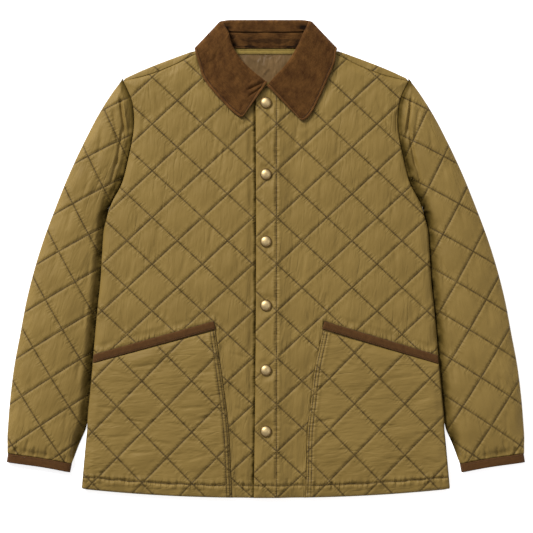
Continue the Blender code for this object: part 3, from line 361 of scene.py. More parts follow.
# %% Tape, lining, thread and brass
def ribbed_tape(name, light, dark, rib):
    """Cotton tape: ribs across it, as far apart as rib says, and a slightly uneven dye."""
    made, tree, shader = new_material(name, 0.9, Sheen_Weight=0.05, IOR=1.5,
                                      Specular_IOR_Level=0.15)
    uv = put(tree, "UVMap", uv_map="quilt")
    along = put(tree, "SeparateXYZ", {0: uv})
    phase = put(tree, "Math", {0: along, 1: math.pi / rib}, operation="MULTIPLY")
    rib_wave = put(tree, "Math", {0: phase}, operation="SINE")
    rib_wave = put(tree, "Math", {0: rib_wave}, operation="ABSOLUTE")
    fuzz = put(tree, "TexNoise", {"Vector": uv, "Scale": 1.1, "Detail": 4.0})
    height = put(tree, "Math", {0: fuzz, 1: 0.8, 2: rib_wave}, operation="MULTIPLY_ADD")
    bump = put(tree, "Bump", {"Height": height, "Distance": 0.22 * MM})
    tree.links.new(bump, shader.inputs["Normal"])
    blotch = put(tree, "TexNoise", {"Vector": uv, "Scale": 0.16, "Detail": 4.0})
    colour = put(tree, "Mix", {0: blotch, 6: linear(dark), 7: linear(light)},
                 data_type="RGBA").node.outputs[2]
    tree.links.new(colour, shader.inputs["Base Color"])
    return made


BINDING_TAPE = ribbed_tape("brown cotton tape", "#60401f", "#43290f", 1.0)
NECK_TAPE = ribbed_tape("olive cotton tape", "#9d8645", "#7e6932", 1.0)

LINING, lining_tree, lining_shader = new_material(
    "taupe polyester lining", 0.5, Specular_IOR_Level=0.25, IOR=1.5)
lining_place = put(lining_tree, "TexCoord").node.outputs["Object"]
lining_way = put(lining_tree, "Mapping", {0: lining_place, 2: (0, 0, 0.5), 3: (70, 30, 50)})
lining_creases = ridges(lining_tree, lining_way, 0.35, 0.55, 0.16)
lining_drape = put(lining_tree, "TexNoise", {"Vector": lining_way, "Scale": 1.0, "Detail": 3.0})
lining_height = put(lining_tree, "Math", {0: lining_creases, 1: -0.14, 2: lining_drape},
                    operation="MULTIPLY_ADD")
lining_bump = put(lining_tree, "Bump", {"Height": lining_height, "Distance": 3.2 * MM})
lining_tree.links.new(lining_bump, lining_shader.inputs["Normal"])
lining_tone = put(lining_tree, "TexNoise", {"Vector": lining_place, "Scale": 45.0})
lining_colour = put(lining_tree, "Mix", {0: lining_tone, 6: linear("#4b391f"),
                                         7: linear("#866840")}, data_type="RGBA").node.outputs[2]
lining_tree.links.new(lining_colour, lining_shader.inputs["Base Color"])


def thread(name, colour):
    """Spun polyester thread, with a soft gloss along its twist."""
    made, tree, shader = new_material(name, 0.6, Specular_IOR_Level=0.4)
    place = put(tree, "TexCoord").node.outputs["Object"]
    twist = put(tree, "TexNoise", {"Vector": place, "Scale": 1400.0, "Detail": 1.0})
    colour = put(tree, "Mix", {0: twist, 6: linear(colour[0]), 7: linear(colour[1])},
                 data_type="RGBA").node.outputs[2]
    tree.links.new(colour, shader.inputs["Base Color"])
    return made


OLIVE_THREAD = thread("olive polyester thread", ("#4a3a18", "#655126"))
BROWN_THREAD = thread("brown polyester thread", ("#3a2210", "#573619"))

BRASS, brass_tree, brass_shader = new_material("drawn brass", 0.3, Metallic=1.0)
brass_place = put(brass_tree, "TexCoord").node.outputs["Object"]
marks = put(brass_tree, "TexNoise", {"Vector": brass_place, "Scale": 260.0, "Detail": 4.0})
brass_rough = put(brass_tree, "MapRange", {0: marks, 1: 0.3, 2: 0.7, 3: 0.48, 4: 0.62})
brass_tree.links.new(brass_rough, brass_shader.inputs["Roughness"])
# Painted shade: the recess between the dome and the rolled rim is darker
brass_uv = put(brass_tree, "SeparateXYZ", {0: put(brass_tree, "UVMap", uv_map="quilt")})
recess_shade = put(brass_tree, "MapRange", {0: brass_uv, 1: 7.2, 2: 7.9, 3: 0.0, 4: 0.9},
            interpolation_type="SMOOTHSTEP")
polish = put(brass_tree, "Mix", {0: marks, 6: linear("#d0b278"), 7: linear("#e2cc9e")},
             data_type="RGBA").node.outputs[2]
brass_colour = put(brass_tree, "Mix", {0: recess_shade, 6: polish, 7: linear("#5e4520")},
                   data_type="RGBA").node.outputs[2]
brass_tree.links.new(brass_colour, brass_shader.inputs["Base Color"])
print("tape, lining, thread and brass")

# %% [markdown]
# ## From a grid of numbers to a mesh
#
# Every piece of cloth here is a loop of points carried along a path. For a flat panel each
# loop goes across the outer face from one edge to the other and comes back behind it. For a
# tube there is a loop round the outside and one round the inside. The loops are rows of one
# large array, so the faces come from index arithmetic and no loop runs over the points.

# %% Meshes from arrays
def rows_of_quads(rows, size, closed=True):
    """Quads between each loop and the next: point, its neighbour, and the two beyond them."""
    r, i = np.meshgrid(np.arange(rows - 1), np.arange(size if closed else size - 1), indexing="ij")
    j = (i + 1) % size
    quads = np.stack([r * size + i, r * size + j, (r + 1) * size + j, (r + 1) * size + i], -1)
    return quads.reshape(-1, 4)


def make_piece(name, points, faces, finish, uv, seam=None):
    """Puts points in millimetres and their faces into a mesh, with two UV maps: quilt, and
    seam, whose two numbers place the seams and the painted shade, and are large where there is none."""
    mesh = bpy.data.meshes.new(name)
    mesh.from_pydata((np.asarray(points) * MM).tolist(), [], [list(map(int, f)) for f in faces])
    corners = np.empty(len(mesh.loops), np.int32)
    mesh.loops.foreach_get("vertex_index", corners)
    if seam is None:
        seam = np.full((len(points), 2), 99.0)
    for layer_name, values in (("quilt", uv), ("seam", seam)):
        layer = mesh.uv_layers.new(name=layer_name)
        layer.data.foreach_set("uv", np.asarray(values, float)[corners].ravel())
    mesh.materials.append(finish)
    mesh.shade_smooth()
    made = bpy.data.objects.new(name, mesh)
    bpy.context.scene.collection.objects.link(made)
    return made


def volume(made):
    """The mesh's volume in cubic millimetres, which is negative where it is inside out."""
    shape = bmesh.new()
    shape.from_mesh(made.data)
    found = shape.calc_volume(signed=True) * 1e9
    shape.free()
    return found


def swept(name, loops, finish, uv, seam=None):
    """A solid through closed loops, capped at both ends, turned faces out if it needs to be."""
    rows, size = loops.shape[:2]
    faces = list(rows_of_quads(rows, size))
    faces.append(np.arange(size)[::-1])
    faces.append((rows - 1) * size + np.arange(size))
    seam = None if seam is None else seam.reshape(-1, 2)
    made = make_piece(name, loops.reshape(-1, 3), faces, finish, uv.reshape(-1, 2), seam)
    if volume(made) < 0:
        made.data.flip_normals()
    print(f"{name}: {len(made.data.polygons)} faces, {volume(made) / 1000:.0f} cm3 of cloth")
    return made


def tube(name, outer, inner, finish, uv_outer, uv_inner, seam_outer):
    """A tube with a wall: the outer loops, the inner loops, and a rim at each end."""
    size = outer.shape[1]
    out_count, in_count = outer.shape[0], inner.shape[0]
    base = out_count * size
    out_faces = rows_of_quads(out_count, size)
    in_faces = base + rows_of_quads(in_count, size)[:, ::-1]
    i = np.arange(size)
    j = (i + 1) % size
    first = np.stack([base + i, base + j, j, i], -1)
    last_out, last_in = (out_count - 1) * size, base + (in_count - 1) * size
    last = np.stack([last_out + i, last_out + j, last_in + j, last_in + i], -1)
    faces = np.vstack([out_faces, in_faces, first, last])
    points = np.vstack([outer.reshape(-1, 3), inner.reshape(-1, 3)])
    uv = np.vstack([uv_outer.reshape(-1, 2), uv_inner.reshape(-1, 2)])
    seam = np.vstack([seam_outer.reshape(-1, 2), np.full((inner.shape[0] * size, 2), 99.0)])
    made = make_piece(name, points, faces, finish, uv, seam)
    if volume(made) < 0:
        made.data.flip_normals()
    print(f"{name}: {len(made.data.polygons)} faces, {volume(made) / 1000:.0f} cm3 of cloth")
    return made


# %% [markdown]
# ## Lines and distances
#
# A cut edge is given by a few measured points and a smooth line through them. How far a
# point is from an edge decides how much the cloth there has rolled down or swelled up.

# %% Lines and distances
def through(points, count):
    """A smooth line through the points, in count even steps: a cubic between each two, whose
    slopes come from the points on either side."""
    knots = np.array(points, float)
    chord = np.r_[0, np.cumsum(np.linalg.norm(np.diff(knots, axis=0), axis=1))]
    slope = np.gradient(knots, chord, axis=0)
    place = np.linspace(0, chord[-1], count) if np.isscalar(count) else count * chord[-1]
    k = np.clip(np.searchsorted(chord, place, side="right") - 1, 0, len(knots) - 2)
    step = (chord[k + 1] - chord[k])[:, None]
    t = (place - chord[k])[:, None] / step
    return ((2 * t**3 - 3 * t**2 + 1) * knots[k] + (t**3 - 2 * t**2 + t) * step * slope[k]
            + (3 * t**2 - 2 * t**3) * knots[k + 1] + (t**3 - t**2) * step * slope[k + 1])


def smooth(t):
    """From 0 to 1 with level ends: three t squared less two t cubed."""
    t = np.clip(t, 0, 1)
    return t * t * (3 - 2 * t)


def distance(x, y, line):
    """The distance in plan from each point to a line of points, one stretch at a time."""
    near = np.full(np.shape(x), 1e9)
    for (ax, ay), (bx, by) in zip(line[:-1], line[1:]):
        run = max((bx - ax)**2 + (by - ay)**2, 1e-9)
        t = np.clip(((x - ax) * (bx - ax) + (y - ay) * (by - ay)) / run, 0, 1)
        near = np.minimum(near, np.hypot(x - ax - t * (bx - ax), y - ay - t * (by - ay)))
    return near


def inside(x, y, line):
    """Whether each point is in the closed line: an odd number of its sides is to the right."""
    odd = np.zeros(np.shape(x), bool)
    for (ax, ay), (bx, by) in zip(line, np.roll(line, -1, axis=0)):
        if ay != by:
            odd ^= ((ay > y) != (by > y)) & (x < ax + (y - ay) * (bx - ax) / (by - ay))
    return odd


def rolled(depth, radius):
    """How far cloth has dropped at a depth from its edge: a quarter circle, 1 at the edge."""
    t = np.clip(depth / radius, 0, 1)
    return 1 - np.sqrt(np.clip(1 - (1 - t)**2, 0, 1))


def patch(bottom, top, left, right):
    """Points between four edges: blends of left and right and of bottom and top, less the
    blend of the corners that both have counted."""
    s = np.linspace(0, 1, len(bottom))[None, :, None]
    t = np.linspace(0, 1, len(left))[:, None, None]
    sides = (1 - s) * left[:, None] + s * right[:, None]
    ends = (1 - t) * bottom[None] + t * top[None]
    corners = ((1 - t) * ((1 - s) * bottom[0] + s * bottom[-1])
               + t * ((1 - s) * top[0] + s * top[-1]))
    return sides + ends - corners


# %% [markdown]
# ## The measured jacket
#
# These are the jacket's own sizes in millimetres, the same ones that its solids were made
# from: the cut edges of the wearer's left half, and how the layers lie on each other. The
# other half is its mirror image, apart from the front edges, the quilting and the pockets.

# %% Sizes
WALL = 3.0  # quilted cloth at a stitch line
BACK_WALL = 3.7
PUFF = 3.4  # swell of a diamond
SEAM = 0.35  # between two layers
HEM_MID_Y, HEM_RISE, HEM_POWER = -382.4, 14.4, 2.2
SIDE_EDGE = [(294.6, -366.0), (289.6, -310.4), (284.3, -256.0), (278.9, -201.6), (274.1, -147.2),
             (268.0, -79.4), (263.2, -33.6), (260.8, 6.4), (256.7, 54.4)]
ARMHOLE = [(256.7, 54.4), (249.3, 85.4), (230.9, 122.1), (220.6, 161.6), (216.0, 183.2),
           (211.4, 225.6), (215.2, 255.2), (228.5, 284.8)]
SHOULDER_SEAM = [(228.5, 284.8), (188.5, 294.4), (143.7, 312.0), (111.7, 328.0), (92.0, 336.0)]
SHOULDER_TOP = [(226.5, 289.2), (198.1, 302.4), (166.1, 315.2), (130.9, 328.0), (118.0, 332.2),
                (108.0, 333.8), (97.0, 338.4)]
BACK_NECK_Y = 341.0
FRONT_NECK = [(92.0, 336.0), (85.0, 327.5), (74.5, 316.0), (58.0, 301.0), (38.0, 288.0),
              (16.0, 279.5), (0.0, 277.0)]
PLACKET_EDGE = [(-16.6, 279.0), (-15.6, 100.0), (-15.8, -60.0), (-17.2, -230.0), (-19.2, -382.4)]
UNDERLAP_X = 14.0
PLACKET_STITCH_X = 17.0
STEP_DOWN = 30.0
HEM_BAND = 19.7
SNAP_YS = (249.9, 135.5, 28.3, -73.9, -177.3, -275.2)

# Quilting: a crossing's x and y, then the gap between crossings across and along
BODY_QUILT_LEFT = (17.9, -83.2, 80.0, 74.8)
BODY_QUILT_RIGHT = (20.8, -83.2, 80.5, 74.8)
BACK_QUILT = (0.0, -83.2, 80.0, 74.8)
POCKET_QUILT_LEFT = (141.9, -231.8, 80.5, 81.8)
POCKET_QUILT_RIGHT = (158.2, -236.0, 79.7, 81.6)

COLLAR_UNDER = [(0.0, 322.0), (37.0, 321.0), (74.0, 321.5), (103.0, 340.0), (113.0, 337.0),
                (71.5, 380.8), (66.5, 381.6), (56.0, 381.8), (30.0, 381.8), (0.0, 381.8)]
BOTH_SIDES = np.vstack([COLLAR_UNDER, np.array(COLLAR_UNDER)[::-1] * (-1, 1)])


def hem_y(x):
    """The hem, which curves up to the side seams: a power of the distance from the middle."""
    return HEM_MID_Y + HEM_RISE * (np.abs(x) / SIDE_EDGE[0][0])**HEM_POWER


def hem_line(x):
    """The hem's stitch line, which wanders a little as it was sewn."""
    return hem_y(x) + HEM_BAND + 0.6 * np.sin(x / 7.0 + 1.5 * np.sin(x / 19.0))


def half_width(y):
    """Half the body's width at a height on the jacket, from its side and armhole."""
    xs, ys = np.array(SIDE_EDGE + ARMHOLE[1:]).T
    return np.interp(y, ys, xs)


def placket_x(y):
    """Where the placket's edge lies at a height on the jacket."""
    xs, ys = np.array(PLACKET_EDGE)[::-1].T
    return np.interp(y, ys, xs)


def side_lap(y):
    """How far a front's side hangs over the sleeve beside it: nothing past the sleeve's ends."""
    return 1.5 * smooth((y + 275.0) / 25.0) * smooth((70.0 - y) / 25.0)


def crown(x, y):
    """The fronts stand off the back in the middle: a parabola across times one along."""
    across = 1 - (x / half_width(y))**2
    along = 1 - ((y + 20.0) / 372.0)**2
    return 3.4 * np.clip(across, 0, 1) * np.clip(along, 0, 1)


def fall_room(x, y):
    """The neck is lifted 2.9 mm by the collar beneath it, fading out 40 mm away."""
    away = np.where(inside(x, y, BOTH_SIDES), 0, distance(x, y, BOTH_SIDES) - 3)
    return 2.9 * (1 - smooth(away / 40.0))


def back_top(x, y):
    return BACK_WALL + fall_room(x, y)


def front_plain(x, y):
    """The fronts' outer face at a stitch line: back, gap, crown and wall on each other."""
    return back_top(x, y) + SEAM + crown(x, y) + WALL


def overlap_rise(x, y):
    """The left front is lifted by the right one under it, and comes down beside it."""
    return (WALL + SEAM) * (1 - smooth((x - UNDERLAP_X - 3) / STEP_DOWN))


def quilt_lines(x, y, quilt):
    """Counts stitch lines: the place across plus the place along, and their difference."""
    x0, y0, across, along = quilt
    return (x - x0) / across + (y - y0) / along, (x - x0) / across - (y - y0) / along


def puff(u, v):
    """The swell of a diamond: two sines to a power, rounded a little at the stitch lines."""
    both = np.abs(np.sin(math.pi * u) * np.sin(math.pi * v))
    return ((both + 0.008)**0.55 - 0.008**0.55) * 1.07


def troughs(x, y, table):
    """Creases placed one by one: each is a ridge along a line, a bell in section, that tapers to
    its ends. Columns: start x and y, end x and y, half width, height (below zero: a trough)."""
    total = np.zeros(np.shape(x))
    for ax, ay, bx, by, width, height in table:
        run = (bx - ax)**2 + (by - ay)**2
        t = ((x - ax) * (bx - ax) + (y - ay) * (by - ay)) / run
        side = ((x - ax) * (by - ay) - (y - ay) * (bx - ax)) / math.sqrt(run)
        taper = smooth(1 - np.abs(2 * t - 1)**3) * ((t > 0) & (t < 1))
        total += height * np.exp(-(side / width)**2) * taper
    return total


# %% [markdown]
# ## The fronts
#
# Each front is one quilted panel: hem, side seam, armhole, shoulder seam, neck and front
# edge. Four edges make a grid of points, and its height adds the layers below it, the swell
# of the diamonds, the hem's stitched band, and creases placed where the real cloth shows
# them. Nothing swells under the pockets and the collar, which press it flat. The wearer's
# left front lies over the right one, so it carries the placket's stitch line and the snaps.

# %% Creases on the fronts
LEFT_CREASES = [
    # x, y, x, y, half width, height
    (54.0, 236.0, 46.0, 180.0, 3.2, -1.1), (70.0, 222.0, 66.0, 178.0, 3.6, -0.8),
    (118.0, 214.0, 112.0, 160.0, 3.0, -0.8), (146.0, 258.0, 150.0, 214.0, 3.8, -1.0),
    (176.0, 262.0, 196.0, 214.0, 4.2, -1.2), (188.0, 236.0, 204.0, 196.0, 3.2, -0.9),
    (92.0, 142.0, 86.0, 96.0, 3.2, -0.8), (168.0, 150.0, 160.0, 104.0, 3.4, -0.8),
    (200.0, 108.0, 206.0, 60.0, 3.4, -0.9), (44.0, 108.0, 40.0, 58.0, 2.8, -0.9),
    (120.0, 60.0, 114.0, 16.0, 3.0, -0.7), (206.0, 24.0, 210.0, -30.0, 3.8, -0.9),
    (62.0, 12.0, 58.0, -34.0, 2.8, -0.8), (150.0, -10.0, 146.0, -52.0, 3.2, -0.8),
    (96.0, -52.0, 90.0, -96.0, 3.4, -0.9), (232.0, -50.0, 236.0, -104.0, 3.4, -0.9),
    (180.0, -70.0, 186.0, -112.0, 3.2, -0.8), (44.0, -96.0, 40.0, -146.0, 3.0, -0.8),
    (54.0, -206.0, 30.0, -212.0, 3.0, -0.9), (52.0, -268.0, 26.0, -262.0, 2.8, -0.9),
    (48.0, -318.0, 24.0, -322.0, 3.0, -0.8), (36.0, -350.0, 30.0, -364.0, 2.4, -0.8),
]
RIGHT_CREASES = [
    # x, y, x, y, half width, height, with x counted from the middle outwards
    (84.0, 226.0, 82.0, 172.0, 2.8, -1.1), (75.0, 190.0, 78.0, 150.0, 3.0, -1.0),
    (66.0, 180.0, 72.0, 132.0, 2.6, -1.1), (136.0, 232.0, 138.0, 196.0, 3.0, -0.8),
    (176.0, 268.0, 168.0, 232.0, 4.0, -1.1), (192.0, 240.0, 200.0, 196.0, 3.6, -1.0),
    (100.0, 160.0, 102.0, 118.0, 3.0, -0.7), (160.0, 178.0, 164.0, 130.0, 3.2, -0.7),
    (82.0, 64.0, 92.0, 18.0, 2.8, -1.1), (50.0, 36.0, 42.0, -18.0, 3.0, -1.0),
    (124.0, 20.0, 136.0, -28.0, 3.2, -1.0), (170.0, 60.0, 178.0, 14.0, 3.4, -0.8),
    (210.0, 100.0, 202.0, 52.0, 3.6, -0.9), (214.0, 12.0, 220.0, -38.0, 3.4, -0.9),
    (158.0, -78.0, 162.0, -118.0, 3.0, -1.0), (166.0, -66.0, 172.0, -110.0, 2.6, -0.8),
    (104.0, -40.0, 98.0, -86.0, 3.0, -0.8), (232.0, -70.0, 226.0, -116.0, 3.2, -0.9),
    (52.0, -120.0, 46.0, -168.0, 3.0, -0.9), (60.0, -150.0, 30.0, -158.0, 2.8, -0.9),
    (52.0, -236.0, 26.0, -246.0, 3.0, -1.0), (50.0, -300.0, 24.0, -296.0, 2.8, -0.9),
    (44.0, -352.0, 30.0, -346.0, 2.8, -0.8), (38.0, -358.0, 34.0, -370.0, 2.2, -0.8),
]
HEM_TICK_GAP = 13.0  # between the short puckers over the hem's stitch line, mm


def hem_ticks(x, y):
    """Short puckers at the hem's stitch line: narrow troughs, at a pitch that wanders."""
    turn = x * math.tau / HEM_TICK_GAP + 1.7 * np.sin(x / 21.0)
    narrow = ((1 + np.cos(turn)) / 2)**3 + 0.5 * ((1 + np.cos(turn * 1.63 + 1)) / 2)**3
    above = y - hem_line(x)
    return -1.5 * narrow * np.exp(-(above / 8.5)**2)


print(len(LEFT_CREASES) + len(RIGHT_CREASES), "creases by hand on the fronts")

# %% Pocket and collar outlines, which press the fronts flat
POCKET_LEFT = {
    "inner": [(91.5, -115.0), (77.9, -180.2), (72.3, -228.8), (67.0, -275.2), (65.8, -332.8),
              (64.3, -382.0)],
    "mouth": [(91.5, -112.5), (276.0, -168.0)], "quilt": POCKET_QUILT_LEFT}
POCKET_RIGHT = {
    "inner": [(81.4, -114.7), (68.5, -201.6), (60.2, -270.4), (56.2, -348.8), (54.7, -382.0)],
    "mouth": [(81.4, -112.5), (274.4, -166.0)], "quilt": POCKET_QUILT_RIGHT}
POCKET_WALL, POCKET_PUFF, POCKET_INSET = 2.2, 3.2, 0.7
MOUTH_BAND = 13.6
BINDING_RISE = 1.0

# Collar stations, from the fold to the free edge: fold x, y, z; edge x, y, z; turn in
# degrees; depth of the inner leg; radius of the fold
COLLAR_BACK = [
    (0.0, 381.8, 1.3, 0.0, 322.0, 1.3, 0, 19.0, 3.4),
    (30.0, 381.8, 1.3, 37.0, 321.0, 1.3, 0, 19.0, 3.4),
    (56.0, 381.8, 1.3, 74.0, 321.5, 1.3, 4, 18.5, 3.4),
    (66.5, 381.6, 2.0, 103.0, 340.0, 1.4, 24, 18.0, 3.3),
    (71.5, 380.8, 6.5, 113.0, 337.0, 7.0, 86, 17.0, 3.2),
    (69.6, 377.8, 14.5, 112.2, 329.6, 15.0, 150, 14.0, 3.0)]
COLLAR_FRONT_LEFT = [
    (62.2, 362.4, 19.5, 109.6, 313.0, 12.6, 176, 11.0, 3.0),
    (52.5, 341.5, 19.5, 100.0, 290.0, 10.8, 180, 9.0, 2.8),
    (42.0, 322.5, 19.0, 87.5, 262.0, 10.8, 180, 7.5, 2.5),
    (27.5, 303.4, 18.2, 75.0, 237.0, 11.0, 180, 6.0, 2.1),
    (14.0, 289.6, 17.6, 67.5, 226.5, 11.4, 180, 4.5, 1.8),
    (2.6, 275.6, 17.2, 58.7, 219.4, 11.8, 180, 3.0, 1.6)]
COLLAR_FRONT_RIGHT = [
    (61.0, 362.4, 19.5, 107.0, 312.0, 12.6, 176, 11.0, 3.0),
    (54.0, 339.0, 19.5, 99.4, 288.0, 10.8, 180, 9.0, 2.8),
    (40.2, 317.3, 19.0, 81.8, 265.3, 10.8, 180, 7.5, 2.5),
    (24.5, 301.6, 18.2, 61.0, 243.0, 11.2, 180, 6.0, 2.1),
    (10.5, 290.4, 17.6, 49.0, 232.0, 11.6, 180, 4.5, 1.8),
    (-2.0, 281.0, 17.2, 38.6, 224.5, 12.2, 180, 3.0, 1.6)]


def leaf_area(front_table):
    """The plan of a collar leaf: along its fold and back along its edge."""
    stations = np.array(COLLAR_BACK[5:] + front_table)
    return np.vstack([stations[:, 0:2], stations[::-1, 3:5]])


def mouth_band(pocket):
    """The plan of the tape on a pocket's mouth: its lower line and its upper line."""
    start, end = np.array(pocket["mouth"])
    run = (end - start) / np.linalg.norm(end - start)
    up = np.array([-run[1], run[0]])
    side = through(SIDE_EDGE, 40) - (POCKET_INSET, 0)
    side[:, 0] += side_lap(side[:, 1])
    rows = []
    for lift in (SEAM, MOUTH_BAND - 0.5):
        base = start + up * lift
        y = base[1]
        for _ in range(8):
            x = np.interp(y, side[:, 1], side[:, 0])
            y = base[1] + (x - base[0]) * run[1] / run[0]
        rows.append((base - run * 1.5, np.array([x, y])))
    return rows


def pocket_edges(pocket, across, along):
    """The four edges of a pocket as lines of points: hem, mouth, inner edge and side seam."""
    inner = through(pocket["inner"], along)[::-1]
    inner[0, 1] = hem_y(inner[0, 0]) + POCKET_INSET
    mouth = np.array(pocket["mouth"])
    slope = (mouth[1, 1] - mouth[0, 1]) / (mouth[1, 0] - mouth[0, 0])
    full_side = through(SIDE_EDGE, 200) - (POCKET_INSET, 0)
    full_side[:, 0] += side_lap(full_side[:, 1])
    over = full_side[:, 1] - (mouth[0, 1] + (full_side[:, 0] - mouth[0, 0]) * slope)
    corner_y = np.interp(0.0, over, full_side[:, 1])
    ys = np.linspace(full_side[0, 1] + POCKET_INSET, corner_y, along)
    side = np.stack([np.interp(ys, full_side[:, 1], full_side[:, 0]), ys], 1)
    hem_x = np.linspace(inner[0, 0], side[0, 0], across)
    hem = np.stack([hem_x, hem_y(hem_x) + POCKET_INSET], 1)
    side[0] = hem[-1]
    top = inner[-1] + (side[-1] - inner[-1]) * np.linspace(0, 1, across)[:, None]
    return hem, top, inner, side


def loop_of(hem, top, inner, side):
    """One closed line round four edges."""
    return np.vstack([hem, side[1:], top[::-1][1:], inner[::-1][1:-1]])


print("outlines ready")

# %% Front panels
ACROSS, ALONG = 150, 356  # points across and along a front's outer face
HIDDEN = 16  # points across the face that lies on the back


def front_edges(left):
    """The four edges of a front: hem, shoulder seam, front edge with neck, side with armhole."""
    rise = 0.84  # share of the rows that are below the neck
    rows_below = int(ALONG * rise)
    if left:
        placket = through(PLACKET_EDGE, rows_below)[::-1]
    else:
        ys = np.linspace(HEM_MID_Y, 277.0, rows_below)
        placket = np.stack([np.full(rows_below, -UNDERLAP_X), ys], 1)
    neck = through(FRONT_NECK, ALONG - rows_below + 1)[::-1]
    neck[0] = placket[-1]
    inner = np.vstack([placket, neck[1:]])
    side = through(SIDE_EDGE + ARMHOLE[1:], ALONG)
    side[:, 0] += side_lap(side[:, 1])
    hem_x = np.linspace(inner[0, 0], side[0, 0] - 5.0, ACROSS)
    hem = np.stack([hem_x, hem_y(hem_x)], 1)
    inner[0], hem[-1] = hem[0], side[0]
    top = through(SHOULDER_SEAM, ACROSS)[::-1]
    top[0], top[-1] = inner[-1], side[-1]
    return hem, top, inner, side


def front_covers(left):
    """Closed lines round what lies on a front: pocket, binding, collar leaf or leaves."""
    pocket = POCKET_LEFT if left else POCKET_RIGHT
    (a, b), (d, c) = mouth_band(pocket)
    covers = [loop_of(*pocket_edges(pocket, 20, 20)), np.array([a, b, c, d]),
              leaf_area(COLLAR_FRONT_LEFT if left else COLLAR_FRONT_RIGHT)]
    if left:
        covers.append(leaf_area(COLLAR_FRONT_RIGHT) * (-1, 1))
    return covers


def front_height(x, y, left, edge_depth):
    """The outer face of a front. x is counted from the middle outwards on either side."""
    covers = front_covers(left)
    free = np.ones(np.shape(x))
    under_pocket = None
    for cover in covers:
        away = distance(x, y, np.vstack([cover, cover[:1]]))
        away = np.where(inside(x, y, cover), 0, away)
        under_pocket = away < 3 if under_pocket is None else under_pocket
        free = np.minimum(free, smooth((away - 4) / 13.0))
    u, v = quilt_lines(x, y, BODY_QUILT_LEFT if left else BODY_QUILT_RIGHT)
    stitch = y - hem_line(x)
    swell = PUFF * puff(u, v) * free * smooth(edge_depth / 14.0)
    swell = swell * (1 - 0.75 * np.exp(-(stitch / 6.0)**2))
    creases = troughs(x, y, LEFT_CREASES if left else RIGHT_CREASES)
    if left:
        for snap_y in SNAP_YS:
            swell = swell * smooth((np.hypot(x, y - snap_y) - 11.0) / 10.0)
        swell = swell * smooth(np.abs(x - PLACKET_STITCH_X) / 6.0)
        placket_wave = np.sin(y / 5.3 + 2 * np.sin(y / 31.0)) * np.exp(-((x - 12.0) / 9.0)**2)
        creases = creases + 0.35 * placket_wave * smooth((x + 14) / 8.0)
    else:
        swell = swell * smooth((x - 22) / 10.0)
    drop = rolled(edge_depth, 6.0) * (WALL - 1.5)
    drop = np.where(under_pocket, 0, drop)
    if not left:
        drop = np.where(x < 26, 0, drop)
    dip = np.where(under_pocket, 0, 1.4 * np.exp(-(stitch / 2.4)**2))
    if not left:
        beside = x + placket_x(y) - 2.2
        pinch = 0.75 + 0.3 * np.sin(y / 11.0 + 2 * np.sin(y / 37.0))
        dip = dip + 1.9 * pinch * np.exp(-(beside / 2.4)**2)
    ticks = np.where(under_pocket, 0, hem_ticks(x, y))
    base = front_plain(x, y) + (overlap_rise(x, y) if left else 0)
    return base + swell - drop - dip + (creases + ticks) * free * smooth(edge_depth / 6.0)


def make_front(side_name):
    """One front: a grid between its edges, its height, and a plain face behind it."""
    left = side_name == "left"
    sign = 1 if left else -1
    edges = front_edges(left)
    grid = patch(*edges)
    x, y = grid[..., 0], grid[..., 1]
    outline = loop_of(*edges)
    depth = distance(x, y, np.vstack([outline, outline[:1]]))
    z = front_height(x, y, left, depth)
    keep = np.linspace(0, ACROSS - 1, HIDDEN).round().astype(int)
    bx, by = x[:, keep], y[:, keep]
    under = front_plain(bx, by) + (overlap_rise(bx, by) if left else 0) - WALL
    face = np.stack([x * sign, y, z], -1)
    behind = np.stack([bx * sign, by, under], -1)[:, ::-1]
    loops = np.concatenate([face, behind], axis=1)
    u, v = quilt_lines(x, y, BODY_QUILT_LEFT if left else BODY_QUILT_RIGHT)
    bu, bv = quilt_lines(bx, by, BODY_QUILT_LEFT if left else BODY_QUILT_RIGHT)
    uv = np.concatenate([np.stack([u, v], -1), np.stack([bu, bv], -1)[:, ::-1]], axis=1)
    # Seam map: the placket's stitch line on the left front; on the right front, a painted shadow
    # along the left front's edge
    if left:
        to_placket_shade = loops[..., 0] - PLACKET_STITCH_X
    else:
        ragged = np.sin(loops[..., 1] / 4.3 + 2 * np.sin(loops[..., 1] / 13.0))
        to_placket_shade = np.abs(loops[..., 0] - placket_x(loops[..., 1])) + 0.6 * ragged
    to_hem_and_covers = np.abs(loops[..., 1] - hem_line(loops[..., 0] * sign))
    # Painted shadow round what lies on the front: the hem's dark line is also drawn round each
    # pocket, binding and collar leaf
    for cover in front_covers(left):
        beside = distance(loops[..., 0] * sign, loops[..., 1], np.vstack([cover, cover[:1]]))
        to_hem_and_covers = np.minimum(to_hem_and_covers, beside * 0.8)
    seam = np.stack([to_hem_and_covers, to_placket_shade], -1)
    finish = BODY_CLOTH if left else UNDERLAP_CLOTH
    return swept("front_" + side_name + "_cloth", loops, finish, uv, seam)


front_right = make_front("right")
front_left = make_front("left")

# %% [markdown]
# ## The back
#
# The back is one panel too. It lies under everything, and its upper edge rolls over the
# shoulders to a seam just in front of them, so a strip of it shows from above. The picture
# shows no more of it, so the quilting on it is a plain guess that carries on the pattern of
# the fronts. Each loop here runs along Y: up the underside from the hem, over the shoulder,
# and back inside. The stitch lines are drawn up into the cloth, because the diamonds between
# them rest on the floor.

# %% Back panel
BACK_ACROSS, BACK_ALONG, STRIP = 204, 244, 9


def resample(line, count):
    """Even steps along a line of points, straight between them."""
    run = np.r_[0, np.cumsum(np.linalg.norm(np.diff(line, axis=0), axis=1))]
    at = np.linspace(0, run[-1], count)
    return np.stack([np.interp(at, run, line[:, k]) for k in (0, 1)], 1)


